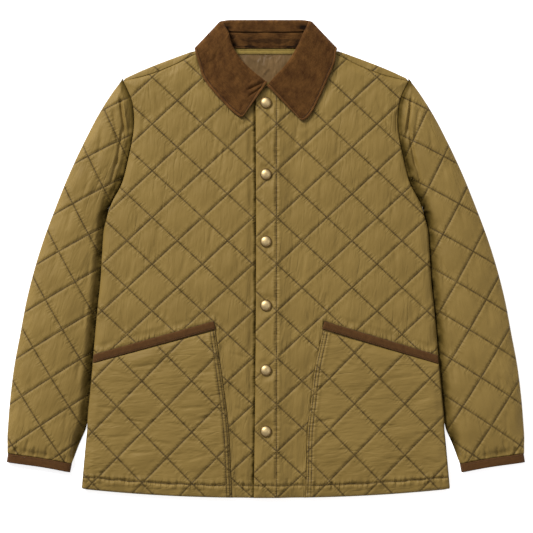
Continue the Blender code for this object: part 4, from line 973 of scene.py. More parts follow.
half_top = np.vstack([through(SHOULDER_TOP, 60), [(78.0, BACK_NECK_Y), (0.0, BACK_NECK_Y)]])
back_edge_top = resample(np.vstack([half_top * (-1, 1), half_top[::-1][1:]]), BACK_ACROSS)
back_side = through(SIDE_EDGE + ARMHOLE[1:], BACK_ALONG)
hem_x = np.linspace(-289.6, 289.6, BACK_ACROSS)
back_hem = np.stack([hem_x, hem_y(hem_x)], 1)
back_hem[0], back_hem[-1] = back_side[0] * (-1, 1), back_side[0]
back_edge_top[0], back_edge_top[-1] = back_side[-1] * (-1, 1), back_side[-1]
under_grid = patch(back_hem, back_edge_top, back_side * (-1, 1), back_side)

seam_line = through(SHOULDER_SEAM, 60)
seam_out = np.gradient(seam_line, axis=0)
seam_out = np.stack([seam_out[:, 1], -seam_out[:, 0]], 1)
seam_out = seam_out / np.linalg.norm(seam_out, axis=1)[:, None]
seam_out = seam_out * np.sign(seam_out[:, 1:2])


def shoulder_line(shift):
    """The front shoulder seam moved up by a shift, and level behind the neck, right across."""
    line = seam_line + seam_out * shift
    line = np.vstack([line, [(80.0, 338.2), (0.0, 338.2)]])
    return np.vstack([line * (-1, 1), line[::-1][1:]])


def matched(line, reference):
    """Points of a line at the same x as a reference line's points."""
    order = np.argsort(line[:, 0])
    x = np.clip(reference[:, 0], line[:, 0].min(), line[:, 0].max())
    return np.stack([x, np.interp(x, line[order, 0], line[order, 1])], 1)


lip = matched(shoulder_line(SEAM + 0.4), back_edge_top)
foot = matched(shoulder_line(SEAM), back_edge_top)
x, y = under_grid[..., 0], under_grid[..., 1]
back_outline = loop_of(back_hem, back_edge_top, back_side * (-1, 1), back_side)
back_depth = distance(x, y, np.vstack([back_outline, back_outline[:1]]))
u, v = quilt_lines(x, y, BACK_QUILT)
drawn_up = 1.7 * (1 - smooth(puff(u, v) / 0.75)) * smooth(back_depth / 10.0)
hem_line_up = 1.2 * np.exp(-((y - hem_y(x) - HEM_BAND) / 2.4)**2) * smooth(back_depth / 5.0)
hem_wave = 0.4 * (1 + np.sin(x / 2.1)) * np.exp(-((y - hem_y(x) - HEM_BAND) / 8.0)**2)
under_z = fall_room(x, y) + np.maximum(drawn_up, hem_line_up + hem_wave * smooth(back_depth / 8))
under_z = under_z + 1.5 * rolled(back_depth, 3.0)
under_face = np.stack([x, y, under_z], -1)


def shoulder_height(x, y):
    """The strip in front of the shoulder: a quarter circle up from the rolled edge."""
    x = np.abs(x)
    full = front_plain(x, y) - 1.0
    rim = 3.2 + fall_room(x, y)
    line = through(SHOULDER_TOP, 60)
    height = rim + (full - rim) * (1 - rolled(distance(x, y, line), 9.0))
    plain = back_top(x, y)
    return plain + (height - plain) * smooth((x - 94.0) / 14.0)


q = np.linspace(0.06, 1, STRIP)[:, None, None]
strip = back_edge_top[None] * (1 - q) + lip[None] * q
strip_face = np.dstack([strip, shoulder_height(strip[..., 0], strip[..., 1])])
foot_face = np.dstack([foot[None], back_top(foot[:, 0], foot[:, 1])[None]])
rows = np.linspace(0.95 * (BACK_ALONG - 1), 0, 14).round().astype(int)
inner_plan = under_grid[rows]
inner_face = np.dstack([inner_plan, back_top(inner_plan[..., 0], inner_plan[..., 1])])
loops = np.concatenate([under_face, strip_face, foot_face, inner_face], axis=0)
back_uv = np.stack(quilt_lines(loops[..., 0], loops[..., 1], BACK_QUILT), -1)
back_cloth = swept("back_cloth", loops.transpose(1, 0, 2), BODY_CLOTH, back_uv.transpose(1, 0, 2))

# %% [markdown]
# ## The sleeves
#
# A sleeve is a tube pressed nearly flat, as wide as the arm part of the jacket and only a few
# millimetres tall, with a rounded fold at each side. Its quilting bends with the arm: the
# stitch lines are counted along a large circle through the arm and across it. The loops go
# round the tube, the wall has an inside, and the end at the cuff is open.

# %% Sleeves
SLEEVE_OUTER = [(228.2, 289.6), (238.4, 276.8), (264.0, 238.4), (291.2, 187.2), (315.2, 136.0),
                (336.0, 84.8), (355.2, 33.6), (371.2, -17.6), (384.0, -68.8), (393.6, -120.0),
                (403.2, -171.2), (409.6, -222.4), (412.8, -260.8), (414.4, -290.0),
                (413.2, -311.2)]
CUFF_SEAM = [(413.2, -311.2), (342.9, -321.4), (310.7, -327.8)]
SLEEVE_FREE_INNER = [(310.7, -327.8), (301.0, -301.0), (288.9, -273.0)]
SLEEVE_LOWER, SLEEVE_HOLLOW, SLEEVE_WALL = 3.0, 2.6, 3.2
SLEEVE_FULL = SLEEVE_LOWER + SLEEVE_HOLLOW + SLEEVE_WALL
BEND_CENTRE, BEND_RADIUS, BEND_START = (-3405.0, -1056.0), 3886.0, 0.3194
SLEEVE_CREASES = [
    # x, y, x, y, half width, height
    (234.0, 268.0, 224.0, 188.0, 2.4, -4.2), (228.0, 216.0, 240.0, 142.0, 2.6, -3.6),
    (229.0, 254.0, 221.0, 204.0, 2.2, 1.8), (245.0, 244.0, 236.0, 178.0, 3.0, -2.2),
    (236.0, 166.0, 250.0, 114.0, 2.6, -2.8), (262.0, 214.0, 268.0, 160.0, 3.6, -1.4),
    (250.0, 128.0, 262.0, 78.0, 3.0, -1.3), (282.0, 150.0, 290.0, 98.0, 4.0, -0.8),
    (272.0, 66.0, 278.0, 20.0, 3.0, -1.2), (308.0, 92.0, 318.0, 44.0, 3.8, -0.8),
    (281.0, 6.0, 286.0, -44.0, 2.8, -1.2), (330.0, 24.0, 342.0, -28.0, 4.0, -0.8),
    (288.0, -68.0, 292.0, -112.0, 2.8, -1.1), (352.0, -60.0, 360.0, -110.0, 4.0, -0.7),
    (297.0, -150.0, 302.0, -200.0, 3.0, -1.1), (330.0, -130.0, 338.0, -180.0, 3.6, -0.7),
    (372.0, -170.0, 378.0, -216.0, 3.6, -0.7), (318.0, -236.0, 322.0, -276.0, 2.8, -0.8),
    (352.0, -252.0, 354.0, -292.0, 2.6, -0.8), (384.0, -246.0, 386.0, -288.0, 2.8, -0.8),
    (350.0, -299.0, 352.0, -320.0, 2.0, -1.9), (369.0, -299.0, 371.0, -317.5, 2.0, -2.0),
    (379.0, -287.0, 386.0, -315.0, 2.3, -2.0), (337.0, -306.0, 333.0, -322.0, 1.9, -1.4),
    (397.0, -290.0, 402.0, -312.0, 2.4, -1.3), (322.0, -304.0, 320.0, -324.0, 2.0, -1.1),
]
SLEEVE_ROWS, SLEEVE_TOP, SLEEVE_UNDER, SLEEVE_INSIDE = 300, 92, 40, 24


def sleeve_lines(x, y):
    """Counts stitch lines along the arm's bend: turn about the centre, and distance from it."""
    radius = np.hypot(x - BEND_CENTRE[0], y - BEND_CENTRE[1])
    turn = np.arctan2(y - BEND_CENTRE[1], x - BEND_CENTRE[0])
    along = BEND_RADIUS * (BEND_START - turn) / 79.6
    across = (BEND_RADIUS - radius) / 77.3
    return along + across, along - across


def sleeve_edges(count):
    """The sleeve's two long edges, from the cuff up: beside the body, and on the outside."""
    armhole = through(ARMHOLE, 60)
    out = np.gradient(armhole, axis=0)
    out = np.stack([out[:, 1], -out[:, 0]], 1)
    armhole = armhole + SEAM * 1.4 * out / np.linalg.norm(out, axis=1)[:, None]
    side = through(SIDE_EDGE, 90) + (0.4, 0)
    side = side[(side[:, 1] > -262.0) & (side[:, 1] < 46.0)]
    inner = np.vstack([through(SLEEVE_FREE_INNER, 20), side, armhole])
    return resample(inner, count), resample(through(SLEEVE_OUTER, 200)[::-1], count)


inner_edge, outer_edge = sleeve_edges(SLEEVE_ROWS)
sleeve_outline = np.vstack([inner_edge, outer_edge[::-1], inner_edge[:1]])
armhole_line = through(ARMHOLE[1:], 30)
cuff_line = through(CUFF_SEAM, 20)
body_side = through(SIDE_EDGE, 20)


def sleeve_top(x, y):
    """The upper face: walls and hollow on each other, rolled down at the folds, with a crown."""
    depth = distance(x, y, sleeve_outline)
    edge = 2.2 + 4.8 * smooth((7.0 - distance(x, y, armhole_line)) / 4.0)
    to_cuff = distance(x, y, cuff_line)
    edge = np.maximum(edge, 2.2 + 5.4 * smooth((15.0 - to_cuff) / 12.0))
    bend = 1 - rolled(depth, 15.0)
    beside = smooth((24.0 - distance(x, y, body_side)) / 6.0)
    valley = np.minimum(bend, smooth(depth / 17.0))
    bend = bend + (valley - bend) * beside
    edge = edge - 1.2 * beside
    u, v = sleeve_lines(x, y)
    swell = 3.8 * puff(u, v) * smooth(depth / 18.0) * smooth((to_cuff - 2) / 10.0)
    gathers = 0.7 * np.sin(x / 2.3 + 2 * np.sin(x / 9.0)) * np.exp(-(to_cuff / 10.0)**2)
    folds = troughs(x, y, SLEEVE_CREASES) + gathers
    return (edge + (SLEEVE_FULL - edge) * bend + 4.0 * smooth(depth / 55.0) + swell
            + folds * smooth(depth / 4.0))


def sleeve_under(x, y):
    """The face on the floor: flat diamonds, stitch lines drawn up, edges rolled up."""
    depth = distance(x, y, sleeve_outline)
    u, v = sleeve_lines(x, y)
    return (1.3 * (1 - smooth(puff(u, v) / 0.75)) * smooth(depth / 8.0)
            + 2.0 * rolled(depth, 5.0))


def edge_steps(count):
    """Steps from 0 to 1 that are closer near both ends: half even, half a cosine."""
    t = np.linspace(0, 1, count)
    return 0.5 * t + 0.25 * (1 - np.cos(math.pi * t))


def make_sleeve(side_name):
    """One sleeve: loops round the tube, from the cuff to the shoulder."""
    sign = 1 if side_name == "left" else -1
    s_top = edge_steps(SLEEVE_TOP)[None, :, None]
    s_under = edge_steps(SLEEVE_UNDER + 2)[1:-1][::-1][None, :, None]
    cuff = (through(CUFF_SEAM, 100) - (cuff_line[0] + cuff_line[-1]) / 2)[::-1]
    sag = cuff - np.linspace(cuff[0], cuff[-1], 100)
    t = np.linspace(0, 1, SLEEVE_ROWS)[:, None, None]

    def plan(s):
        """Points between the two long edges, with the cuff's curve fading along the arm."""
        bow = np.stack([np.interp(s[0, :, 0], np.linspace(0, 1, 100), sag[:, k])
                        for k in (0, 1)], 1)
        line = inner_edge[:, None] * (1 - s) + outer_edge[:, None] * s
        return line + bow[None] * np.clip(1 - 4 * t, 0, 1)

    top, under = plan(s_top), plan(s_under)
    loops = np.concatenate([
        np.dstack([top, sleeve_top(top[..., 0], top[..., 1])]),
        np.dstack([under, sleeve_under(under[..., 0], under[..., 1])])], axis=1)
    keep = np.linspace(0, SLEEVE_ROWS - 1, SLEEVE_INSIDE).round().astype(int)
    inside_loops = loops[keep].copy()
    middle = inside_loops.mean(axis=1, keepdims=True)
    width = np.ptp(inside_loops[..., 0], axis=1)[:, None]
    trim = np.clip(1 - 2 * 10.0 / np.maximum(width, 24.0), 0.15, 1)[..., None]
    plan_in = middle[..., :2] + (inside_loops[..., :2] - middle[..., :2]) * trim
    level = np.where(np.arange(loops.shape[1]) < SLEEVE_TOP, SLEEVE_LOWER + SLEEVE_HOLLOW,
                     SLEEVE_LOWER)
    bulge = np.concatenate([1 - np.abs(2 * s_top[0, :, 0] - 1)**4,
                            1 - np.abs(2 * s_under[0, :, 0] - 1)**4])
    centre = SLEEVE_LOWER + SLEEVE_HOLLOW / 2
    z_in = centre + (level - centre) * np.maximum(bulge, 0.15)
    inside_loops = np.dstack([plan_in, np.broadcast_to(z_in, plan_in.shape[:2])])
    uv = np.stack(sleeve_lines(loops[..., 0], loops[..., 1]), -1)
    uv_in = np.stack(sleeve_lines(inside_loops[..., 0], inside_loops[..., 1]), -1)
    finish = SLEEVE_CLOTH_LEFT if sign > 0 else SLEEVE_CLOTH_RIGHT
    flat = (sign, 1, 1)
    # Painted shade beside the body: distance from the body's edge, made larger near the shoulder and
    # the cuff so the shade fades there
    body_shade_away = distance(loops[..., 0], loops[..., 1], inner_edge)
    body_shade_away = body_shade_away + 6.0 * smooth((loops[..., 1] - 120.0) / 100.0)
    body_shade_away = body_shade_away + 11.0 * smooth((-276.0 - loops[..., 1]) / 50.0)
    seam = np.stack([np.full(body_shade_away.shape, 99.0), body_shade_away], -1)
    return tube("sleeve_" + side_name + "_cloth", loops * flat, inside_loops * flat, finish,
                uv, uv_in, seam)


sleeve_right = make_sleeve("right")
sleeve_left = make_sleeve("left")

# %% [markdown]
# ## The cuff bindings
#
# A strip of brown tape is folded over the end of each sleeve and stitched through. It is a
# flat ring: one loop round the outside of the tube and one round the inside, joined at the
# seam and at the free edge. A shallow dent near the seam is where the stitches pull it in.

# %% Cuff bindings
CUFF_BAND = 14.2
CUFF_ROWS, CUFF_SIDE = 14, 70


def flat_ring(line, low, high, trim):
    """A flat loop round a line in plan: along it above and back below, rounded at its ends."""
    run = np.linalg.norm(line[-1] - line[0])
    along = np.linalg.norm(line - line[0], axis=1) / run
    middle = (line[0] + line[-1]) / 2
    line = middle + (line - middle) * (run - 2 * trim) / run
    bulge = np.maximum(np.sqrt(np.clip(1 - np.abs(2 * along - 1)**12, 0, 1)), 0.1)
    centre = (low + high) / 2 if trim else min(high * 0.3, 2.6)
    upper = centre + (high - centre) * bulge
    lower = centre - (centre - low) * bulge
    over = np.column_stack([line, upper])
    under = np.column_stack([line, lower])[::-1][1:-1]
    return np.vstack([over, under])


def make_cuff(side_name):
    """One cuff binding: rows from the seam to the free edge outside, and back inside."""
    sign = 1 if side_name == "left" else -1
    steps = edge_steps(CUFF_SIDE)
    seam = through(CUFF_SEAM, 200)[::-1]
    seam = seam[(steps * 199).round().astype(int)]
    down = np.gradient(seam, axis=0)
    down = np.stack([down[:, 1], -down[:, 0]], 1)
    down = down / np.linalg.norm(down, axis=1)[:, None]
    down = down * -np.sign(down[:, 1:2])
    height = SLEEVE_FULL + BINDING_RISE
    outer, inner = [], []
    for k in np.linspace(0, 1, CUFF_ROWS):
        line = seam + down * (SEAM + (CUFF_BAND - SEAM) * k)
        ends = 1 - math.sqrt(1 - abs(2 * k - 1)**8)
        dent = 0.45 * math.exp(-((k - 0.17) / 0.06)**2)
        outer.append(flat_ring(line, 0.05 + 0.8 * ends, height - 0.7 * ends - dent, 0.0))
    for k in (1.0, 0.8, 0.5, 0.2, 0.0):
        line = seam + down * (SEAM + (CUFF_BAND - SEAM) * k)
        inner.append(flat_ring(line, SLEEVE_LOWER - 0.4, SLEEVE_LOWER + SLEEVE_HOLLOW + 0.4, 9.0))
    loops = np.array(outer + inner + outer[:1]) * (sign, 1, 1)
    size = loops.shape[1]
    rows = loops.shape[0] - 1
    faces = rows_of_quads(rows + 1, size) % (rows * size)
    run = np.r_[np.linspace(0, 104, CUFF_SIDE), np.linspace(104, 0, size - CUFF_SIDE)]
    uv = np.stack(np.broadcast_arrays(run[None], np.linspace(0, 30, rows)[:, None]), -1)
    made = make_piece("cuff_binding_" + side_name + "_tape", loops[:-1].reshape(-1, 3), faces,
                      BINDING_TAPE, uv.reshape(-1, 2))
    if volume(made) < 0:
        made.data.flip_normals()
    print(made.name, round(volume(made) / 1000, 1), "cm3")
    return made


cuff_right = make_cuff("right")
cuff_left = make_cuff("left")

# %% [markdown]
# ## The patch pockets
#
# Each pocket is a quilted patch on a front, caught in the side seam and the hem, with two
# rows of stitching along its inner edge. Its quilting is cut from other cloth than the front,
# so the diamonds don't meet those beside it. It lies on the front's own surface, moved up by
# its wall, and a few long level creases cross it where the cloth sags.

# %% Pockets
POCKET_ACROSS, POCKET_ALONG = 104, 146
RIGHT_POCKET_CREASES = [
    # x, y, x, y, half width, height
    (176.0, -170.0, 224.0, -174.0, 2.6, -1.0), (214.0, -188.0, 248.0, -178.0, 2.8, -0.9),
    (86.0, -178.0, 112.0, -184.0, 2.4, -1.0), (82.0, -196.0, 120.0, -199.0, 2.6, -0.8),
    (96.0, -236.0, 140.0, -240.0, 2.6, -1.2), (74.0, -250.0, 116.0, -258.0, 2.4, -1.1),
    (82.0, -272.0, 120.0, -276.0, 2.4, -1.0), (124.0, -266.0, 164.0, -262.0, 2.6, -0.8),
    (196.0, -212.0, 236.0, -218.0, 2.8, -0.9), (214.0, -282.0, 256.0, -286.0, 2.6, -1.0),
    (176.0, -308.0, 222.0, -310.0, 2.6, -1.1), (90.0, -312.0, 126.0, -322.0, 2.6, -1.0),
    (238.0, -240.0, 270.0, -236.0, 3.0, -0.9), (242.0, -260.0, 272.0, -266.0, 2.8, -0.8),
    (150.0, -296.0, 188.0, -290.0, 2.6, -0.8), (104.0, -292.0, 142.0, -288.0, 2.4, -0.8),
    (190.0, -262.0, 226.0, -256.0, 2.6, -0.8), (74.0, -300.0, 92.0, -304.0, 2.2, -0.9),
]
LEFT_POCKET_CREASES = [
    # x, y, x, y, half width, height
    (108.0, -160.0, 146.0, -172.0, 2.8, -0.9), (196.0, -192.0, 240.0, -186.0, 2.8, -0.8),
    (92.0, -214.0, 130.0, -220.0, 2.6, -0.9), (224.0, -230.0, 264.0, -222.0, 3.0, -1.0),
    (80.0, -262.0, 112.0, -254.0, 2.6, -0.9), (160.0, -262.0, 206.0, -270.0, 2.8, -0.8),
    (236.0, -282.0, 274.0, -276.0, 3.0, -1.0), (96.0, -308.0, 140.0, -302.0, 2.6, -0.9),
    (184.0, -318.0, 226.0, -322.0, 2.6, -0.9), (250.0, -318.0, 280.0, -328.0, 2.8, -0.8),
]


def pocket_height(x, y, left, depth, inner_edge_away):
    """The pocket's outer face: the front's plain face, a gap, its wall and its swell."""
    spec = POCKET_LEFT if left else POCKET_RIGHT
    base = front_plain(x, y) + (overlap_rise(x, y) if left else 0) + SEAM
    u, v = quilt_lines(x, y, spec["quilt"])
    stitch = y - hem_line(x)
    swell = POCKET_PUFF * puff(u, v) * smooth(depth / 14.0)
    swell = swell * (1 - 0.75 * np.exp(-(stitch / 6.0)**2))
    drop = rolled(depth, 5.0) * (POCKET_WALL - 0.9)
    dip = 1.3 * np.exp(-(stitch / 2.4)**2)
    for line in (2.6, 7.4):
        dip = dip + 0.8 * np.exp(-((inner_edge_away - line) / 1.2)**2)
    creases = troughs(x, y, LEFT_POCKET_CREASES if left else RIGHT_POCKET_CREASES)
    return (base + POCKET_WALL + swell - drop - dip * smooth(depth / 2.0)
            + (creases + hem_ticks(x, y)) * smooth(depth / 6.0))


def make_pocket(side_name):
    """One pocket, from its four edges."""
    left = side_name == "left"
    sign = 1 if left else -1
    spec = POCKET_LEFT if left else POCKET_RIGHT
    edges = pocket_edges(spec, POCKET_ACROSS, POCKET_ALONG)
    grid = patch(*edges)
    x, y = grid[..., 0], grid[..., 1]
    outline = loop_of(*edges)
    depth = distance(x, y, np.vstack([outline, outline[:1]]))
    z = pocket_height(x, y, left, depth, distance(x, y, edges[2]))
    keep = np.linspace(0, POCKET_ACROSS - 1, 14).round().astype(int)
    bx, by = x[:, keep], y[:, keep]
    under = front_plain(bx, by) + (overlap_rise(bx, by) if left else 0) + SEAM
    loops = np.concatenate([np.stack([x * sign, y, z], -1),
                            np.stack([bx * sign, by, under], -1)[:, ::-1]], axis=1)
    uv = np.stack(quilt_lines(loops[..., 0] * sign, loops[..., 1], spec["quilt"]), -1)
    hem_away = loops[..., 1] - hem_line(loops[..., 0] * sign)
    inner_away = distance(loops[..., 0] * sign, loops[..., 1], edges[2]) - 5.0
    seam = np.stack([hem_away, inner_away], -1)
    return swept("pocket_" + side_name + "_cloth", loops, POCKET_CLOTH, uv, seam)


pocket_right = make_pocket("right")
pocket_left = make_pocket("left")

# %% [markdown]
# ## The pocket bindings
#
# The same brown tape is folded over each pocket's mouth and ends square at the inner corner.
# It is a rounded bar carried along the mouth, which follows the front beneath it, with a dent
# along its lower edge where it is stitched through.

# %% Pocket bindings
def make_pocket_binding(side_name):
    """One mouth binding: the same rounded section at each step along the mouth."""
    left = side_name == "left"
    sign = 1 if left else -1
    (a, b), (d, c) = mouth_band(POCKET_LEFT if left else POCKET_RIGHT)
    t = np.linspace(0, 1, 16)
    t = np.r_[0, 0.004, 0.012, np.linspace(0.025, 0.98, 90), 0.992, 1]
    across = np.linspace(0, 1, 22)
    full = POCKET_WALL + BINDING_RISE
    dome = full * (0.42 + 0.58 * np.sqrt(1 - np.abs(2 * across - 1)**5))
    dome = dome - 0.55 * np.exp(-((across - 0.17) / 0.05)**2)
    ends = 0.55 + 0.45 * np.sqrt(1 - np.abs(2 * t - 1)**90)
    low = a + (b - a) * t[:, None]
    high = d + (c - d) * t[:, None]
    plan = low[:, None] + (high - low)[:, None] * across[None, :, None]
    x, y = plan[..., 0], plan[..., 1]
    base = front_plain(x, y) + (overlap_rise(x, y) if left else 0) + SEAM
    ripple = 0.12 * np.sin(t * 61.0 + 2 * np.sin(t * 17.0))[:, None]
    face = np.stack([x * sign, y, base + (dome + ripple) * ends[:, None]], -1)
    keep = [0, 7, 14, 21]
    behind = np.stack([x * sign, y, base], -1)[:, keep][:, ::-1]
    loops = np.concatenate([face, behind], axis=1)
    length = np.linalg.norm(b - a)
    side = np.r_[across * 12, across[keep][::-1] * 12]
    uv = np.stack(np.broadcast_arrays((t * length)[:, None], side[None]), -1)
    return swept("pocket_binding_" + side_name + "_tape", loops, BINDING_TAPE, uv)


mouth_right = make_pocket_binding("right")
mouth_left = make_pocket_binding("left")

# %% [markdown]
# ## The collar
#
# The collar is two layers of corduroy sewn together, folded over all round the neck. Behind
# the neck it stands with its fold up and lies under the back; at the sides it turns over, and
# in front it lies on the fronts as two pointed leaves. A table gives that turn station by
# station. A smooth line through each column makes the rows between, and each row is a
# profile: up the inner leg, round the fold and out to the free edge. The wall thins to a
# rounded edge, a dent follows it 4.5 mm in where it is topstitched, and the wearer's right
# leaf has the creases that run to its front end.

# %% Collar fall
CORD_WALL, STAND_WALL = 2.4, 2.2
TOPSTITCH_IN = 4.8
LEAF_CORNER = 6.0  # radius
LEG, ARC, LEAF = 9, 11, 46
RIGHT_LEAF_CREASES = [
    # x, y, x, y, half width, height, in the jacket's own X
    (0.0, 283.5, -33.0, 268.0, 1.7, -2.4), (-4.0, 289.0, -31.0, 274.5, 2.0, 1.3),
    (-1.0, 278.5, -31.0, 257.0, 1.7, -2.0), (-7.0, 277.0, -28.0, 264.0, 2.0, 1.2),
    (-22.0, 301.0, -40.0, 305.0, 2.0, -0.8), (-45.0, 276.0, -34.0, 244.0, 2.6, -0.8),
    (-60.0, 268.0, -44.0, 242.0, 3.0, -0.6), (-62.0, 300.0, -70.0, 268.0, 4.0, -0.5),
    (-34.0, 250.0, -42.0, 236.0, 2.0, -0.6), (-76.0, 330.0, -88.0, 306.0, 4.0, -0.6),
]
LEFT_LEAF_CREASES = [
    # x, y, x, y, half width, height
    (40.0, 306.0, 62.0, 262.0, 4.4, -0.5), (58.0, 318.0, 82.0, 280.0, 4.6, -0.5),
    (8.0, 270.0, 22.0, 262.0, 2.6, -0.5), (70.0, 344.0, 92.0, 316.0, 4.0, -0.5),
]


def station_rows(table, place):
    """Rows between a table's stations: a cubic through each column, with even slopes."""
    slope = np.gradient(table, axis=0)
    k = np.clip(place.astype(int), 0, len(table) - 2)
    t = (place - k)[:, None]
    return ((2 * t**3 - 3 * t**2 + 1) * table[k] + (t**3 - 2 * t**2 + t) * slope[k]
            + (3 * t**2 - 2 * t**3) * table[k + 1] + (t**3 - t**2) * slope[k + 1])


right_table = np.array(COLLAR_BACK + COLLAR_FRONT_RIGHT, float)
right_table = right_table * (-1, 1, 1, -1, 1, 1, 1, 1, 1)
left_table = np.array(COLLAR_BACK + COLLAR_FRONT_LEFT, float)
whole_collar = np.vstack([right_table[::-1], left_table[1:]])
last = len(whole_collar) - 1
ends = np.array([0, 0.012, 0.03, 0.06, 0.1])
collar_place = np.r_[ends, np.linspace(0.16, last - 0.16, 240), last - ends[::-1]]
collar_rows = station_rows(whole_collar, collar_place)
edge_run = np.linalg.norm(np.diff(collar_rows[:, 3:6], axis=0), axis=1)
edge_run = np.r_[0, np.cumsum(edge_run)]
from_end = np.clip(np.minimum(edge_run, edge_run[-1] - edge_run) / LEAF_CORNER, 0, 1)
cut = LEAF_CORNER * (1 - np.sqrt(1 - (1 - from_end)**2))[:, None]
leaf_way = collar_rows[:, 3:6] - collar_rows[:, 0:3]
collar_rows[:, 3:6] -= cut * leaf_way / np.linalg.norm(leaf_way, axis=1)[:, None]


def leg_frames(rows):
    """For each row: its fold, the way from fold to edge, the way from the outer leg to the
    inner one, which turns by the row's degrees, and its reach."""
    fold, edge = rows[:, 0:3], rows[:, 3:6]
    reach = np.linalg.norm(edge - fold, axis=1)[:, None]
    out = (edge - fold) / reach
    up = np.array((0, 0, 1.0)) - out * out[:, 2:3]
    up = up / np.linalg.norm(up, axis=1)[:, None]
    level = np.cross(out, up)
    towards = level[:, 0] * fold[:, 0] > 0
    middle = (np.abs(fold[:, 0]) < 1e-6) & (level[:, 1] > 0)
    level = np.where((towards | middle)[:, None], -level, level)
    turn = np.radians(rows[:, 6:7])
    return fold, out, up * np.cos(turn) + level * np.sin(turn), reach


def collar_surface(rows):
    """The middle of the cloth: points along and across each profile, and how far each is
    from the fold. The inner leg comes first, then the fold's half turn, then the leaf."""
    fold, out, across, reach = leg_frames(rows)
    r = rows[:, 8:9]
    deep = np.maximum(rows[:, 7:8], r + 0.8)
    leg = np.linspace(1, 0, LEG)[None]
    leg_a, leg_w = r + (deep - r) * leg, 2 * r + 0 * leg
    angle = np.linspace(0, math.pi, ARC + 2)[1:-1][None]
    arc_a, arc_w = r - r * np.sin(angle), r + r * np.cos(angle)
    t = np.linspace(0, 1, LEAF)
    t = (1 - (1 - t)**1.35)[None]
    leaf_a, leaf_w = r + (reach - r) * t, 0 * r + 0 * t
    a = np.concatenate([leg_a, arc_a, leaf_a], axis=1)
    w = np.concatenate([leg_w, arc_w, leaf_w], axis=1)
    points = fold[:, None] + out[:, None] * a[..., None] + across[:, None] * w[..., None]
    points[..., 2] = np.maximum(points[..., 2], CORD_WALL / 2 + 0.25)
    return points, a


# Painted shade on the collar's inside: bells at its corners and bands along its seams
CORNER_SHADE = [
    # x, y, half width, half height, how dark the painted shade is
    (61.0, 370.0, 9.0, 6.0, 1.5), (66.0, 357.0, 6.0, 5.0, 1.3), (50.0, 344.0, 8.0, 7.0, 1.4),
    (62.0, 348.0, 8.0, 11.0, 1.3), (30.0, 340.0, 44.0, 2.6, 1.3), (20.0, 363.0, 60.0, 2.0, 1.2),
]
STAND_SHADE, FALL_SHADE = 0.7, 0.22  # all over the collar's inside, behind the neck


def painted_collar_shade(x, y):
    """Painted shade on the collar's inside: an even amount behind the neck, and bells at its corners,
    on both sides.
    """
    shade = STAND_SHADE + (FALL_SHADE - STAND_SHADE) * smooth((y - 356.0) / 10.0)
    total = shade * smooth((y - 330.0) / 6.0) * smooth((66.0 - np.abs(x)) / 8.0)
    for cx, cy, across, along_y, deep in CORNER_SHADE:
        bell = deep * np.exp(-((np.abs(x) - cx) / across)**2 - ((y - cy) / along_y)**2)
        total = np.maximum(total, bell)
    return total


def cord_shell(points, wall, edge_in, soft=1.3):
    """Both faces of a wall about its middle surface. It thins to an edge as a quarter circle."""
    du, dv = np.gradient(points, axis=0), np.gradient(points, axis=1)
    normal = np.cross(du, dv)
    normal = normal / np.maximum(np.linalg.norm(normal, axis=2), 1e-12)[..., None]
    t = np.clip(edge_in / soft, 0, 1)
    half = wall / 2 * np.maximum(np.sqrt(1 - (1 - t)**2), 0.12)
    half = half - 0.5 * np.exp(-((edge_in - TOPSTITCH_IN) / 0.9)**2)
    half = half + 0.2 * np.exp(-((edge_in - 2.4) / 1.3)**2)
    shift = normal * half[..., None]
    return np.concatenate([points + shift, (points - shift)[:, ::-1]], axis=1)


surface, from_fold = collar_surface(collar_rows)
reach = np.linalg.norm(collar_rows[:, 3:6] - collar_rows[:, 0:3], axis=1)[:, None]
to_edge = reach - from_fold
to_edge[:, :LEG + ARC] = 40.0
row_gap = np.linalg.norm(np.diff(surface, axis=0), axis=2)
run = np.vstack([np.zeros((1, surface.shape[1])), np.cumsum(row_gap, axis=0)])
to_end = np.minimum(run, run[-1] - run)
free_edge = np.minimum(to_edge, to_end)
on_front = (collar_rows[:, 6] > 170)[:, None] & (np.arange(surface.shape[1]) >= LEG + ARC)
folds = (troughs(surface[..., 0], surface[..., 1], RIGHT_LEAF_CREASES)
         + troughs(surface[..., 0], surface[..., 1], LEFT_LEAF_CREASES))
soft_swell = 0.35 * np.sin(surface[..., 0] / 17.0 + 1.0) * np.sin(surface[..., 1] / 13.0)
surface[..., 2] += np.where(on_front, 0.5 + folds * smooth(free_edge / 3) + soft_swell, 0)
cord_run = run[:, LEG + ARC // 2][:, None] + 0 * from_fold
cord_uv = np.stack([cord_run, from_fold], -1)
inner_side = np.arange(surface.shape[1]) < LEG + ARC - 3
plan = surface[..., 0], surface[..., 1]
# Seam map of the fall: painted shade on its inside, and the distance from the topstitching
cord_seam = np.stack([painted_collar_shade(*plan) * inner_side,
                      free_edge - TOPSTITCH_IN], -1)
collar_fall = swept("collar_fall_cord", cord_shell(surface, CORD_WALL, free_edge), CORDUROY,
                    np.concatenate([cord_uv, cord_uv[:, ::-1]], axis=1),
                    np.concatenate([cord_seam, cord_seam[:, ::-1]], axis=1))

# %% [markdown]
# ## The collar stand
#
# The stand is the lower part of the collar, which rises from the neck seam to meet the fall
# inside the fold. From above, its inside shows behind the neck. Each row is a straight
# profile from the neck to just short of the fall's inner leg, with a little sag in it.

